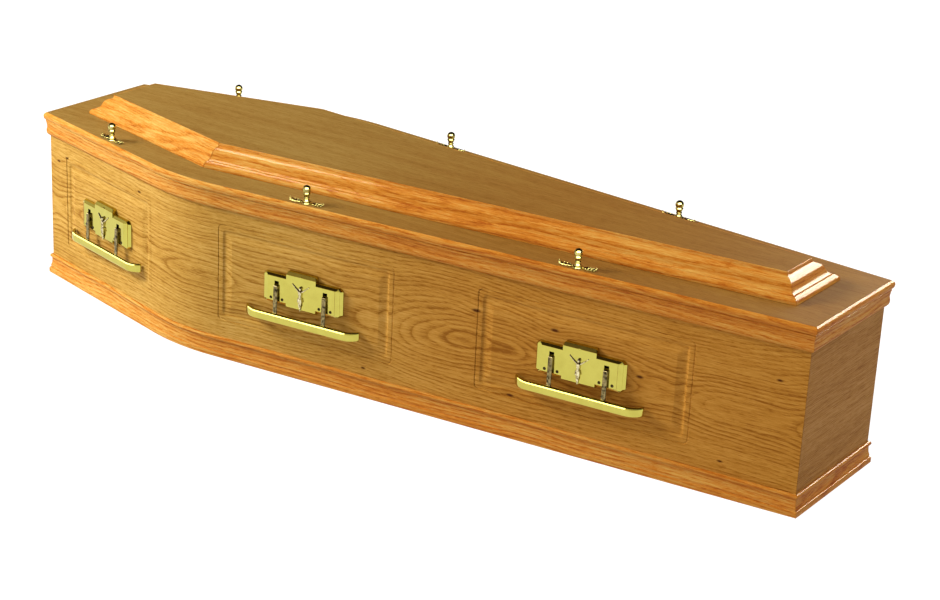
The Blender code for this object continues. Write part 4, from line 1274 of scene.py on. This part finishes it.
# The studio's lamps, each as its role, place, target, width, height and power
LAMPS = {
    "key": ("light", (-3.8, -1.85, 2.5), (-0.2, 0.0, 0.2), 1.6, 1.2, 315.0),
    "lid_fill": ("light", (1.3, 1.0, 2.8), (0.6, 0.0, 0.4), 1.6, 1.2, 22.0),
    "foot_fill": ("light", (4.2, 0.4, 1.5), (0.96, 0.0, 0.2), 2.0, 1.5, 42.0),
    "back_box": ("oak shine", (1.2, 3.3, 2.5), (0.9, 0.0, 0.4), 2.8, 2.7, 1450.0),
    "left_box": ("oak shine", (-2.75, 0.95, 3.5), (-0.4, 0.0, 0.4), 1.0, 1.0, 100.0),
    "front_wall": ("bar shine", (-2.6, -4.3, 1.5), (0.0, 0.0, 0.4), 6.0, 2.2, 340.0),
    "left_wall": ("bar shine", (-5.2, -1.2, 1.4), (0.0, 0.0, 0.4), 4.0, 2.0, 150.0),
    "camera_wall": ("screw shine", (2.6, -3.87, 4.2), (0.0, 0.0, 0.4), 12.0, 5.2, 1900.0),
}


def lay_floor():
    """A wide pale floor."""
    shape = bmesh.new()
    bmesh.ops.create_grid(shape, x_segments=1, y_segments=1, size=FLOOR_HALF_WIDTH)
    floor = in_scene("floor", mesh_from(shape, "floor"))
    recipe = new_material("pale_floor")
    floor.data.materials.append(recipe.finish(Base_Color=FLOOR_PAINT, Roughness=0.9,
                                              Specular_IOR_Level=0.0,
                                              Emission_Color=(1.0, 1.0, 1.0, 1.0),
                                              Emission_Strength=FLOOR_GLOW))
    floor.location = (0, 0, -FLOOR_DROP)
    floor.visible_diffuse = False


def light_the_studio():
    """A low bright wall to the left and front, a dark warm ceiling, a soft sun and the lamps."""
    world = bpy.data.worlds.new("studio")
    bpy.context.scene.world = world
    recipe = Recipe(world, "Background")
    way = recipe.node("TexCoord", {}, 0)
    _, _, height = recipe.parts(way)
    band = recipe.remap(height, WALL_TOP, CEILING_START, 1.0, CEILING_SHARE, smooth=True)
    wall = recipe.maths("ADD", recipe.vector("DOT_PRODUCT", way, BRIGHT_WALL, 1), WALL_LEVEL)
    level = recipe.maths("MULTIPLY", recipe.maths("MAXIMUM", wall, WALL_LEAST), band)
    recipe.finish(Color=recipe.tint(band, BROWN_CEILING, WARM_FILL), Strength=level)
    for name, settings in LAMPS.items():
        add_lamp(name, *settings)
    ceiling = bpy.data.lights.new("soft_ceiling", "SUN")
    ceiling.energy = CEILING_POWER
    ceiling.color = WARM_FILL[:3]
    ceiling.angle = SOFT_SUN_ANGLE
    in_scene("soft_ceiling", ceiling).visible_glossy = False


def add_lamp(name, role, place, target, width, height, power):
    """A soft box that either lights the surfaces or shows in the shine of one kind of piece."""
    lamp = bpy.data.lights.new(name, "AREA")
    lamp.shape = "RECTANGLE"
    lamp.size = width
    lamp.size_y = height
    lamp.energy = power
    item = in_scene(name, lamp)
    item.location = place
    item.rotation_euler = (Vector(target) - Vector(place)).to_track_quat("-Z", "Y").to_euler()
    item.visible_glossy = role != "light"
    item.visible_diffuse = role == "light"
    if role != "light":
        lamp.color = WARM_FILL[:3] if role == "oak shine" else WHITE_LAMP
        item.light_linking.receiver_collection = SHINES[role]


def set_camera():
    """The photograph's viewpoint, with its slight roll."""
    azimuth = CAMERA_AZIMUTH
    elevation = CAMERA_ELEVATION
    back = Vector((math.sin(azimuth) * math.cos(elevation), -math.cos(azimuth) * math.cos(elevation),
                   math.sin(elevation)))
    level = Vector((math.cos(azimuth), math.sin(azimuth), 0.0))
    up = back.cross(level)
    right = math.cos(CAMERA_ROLL) * level + math.sin(CAMERA_ROLL) * up
    up = -math.sin(CAMERA_ROLL) * level + math.cos(CAMERA_ROLL) * up
    data = bpy.data.cameras.new("camera")
    data.lens = CAMERA_LENS
    data.sensor_fit = "HORIZONTAL"
    data.sensor_width = SENSOR_WIDTH
    data.clip_end = VIEW_LIMIT
    camera = in_scene("camera", data)
    turn = Matrix((right, up, back)).transposed().to_4x4()
    camera.matrix_world = Matrix.Translation(CAMERA_PLACE) @ turn
    bpy.context.scene.camera = camera
    bpy.context.scene.view_settings.view_transform = "Standard"


set_camera()
light_the_studio()
lay_floor()
make_side_boards()
make_mouldings()
make_handles()
make_lid_screws()
finish_carried_boards()
for item in SHINES["oak shine"].collection_objects:
    item.light_linking.link_state = "EXCLUDE"
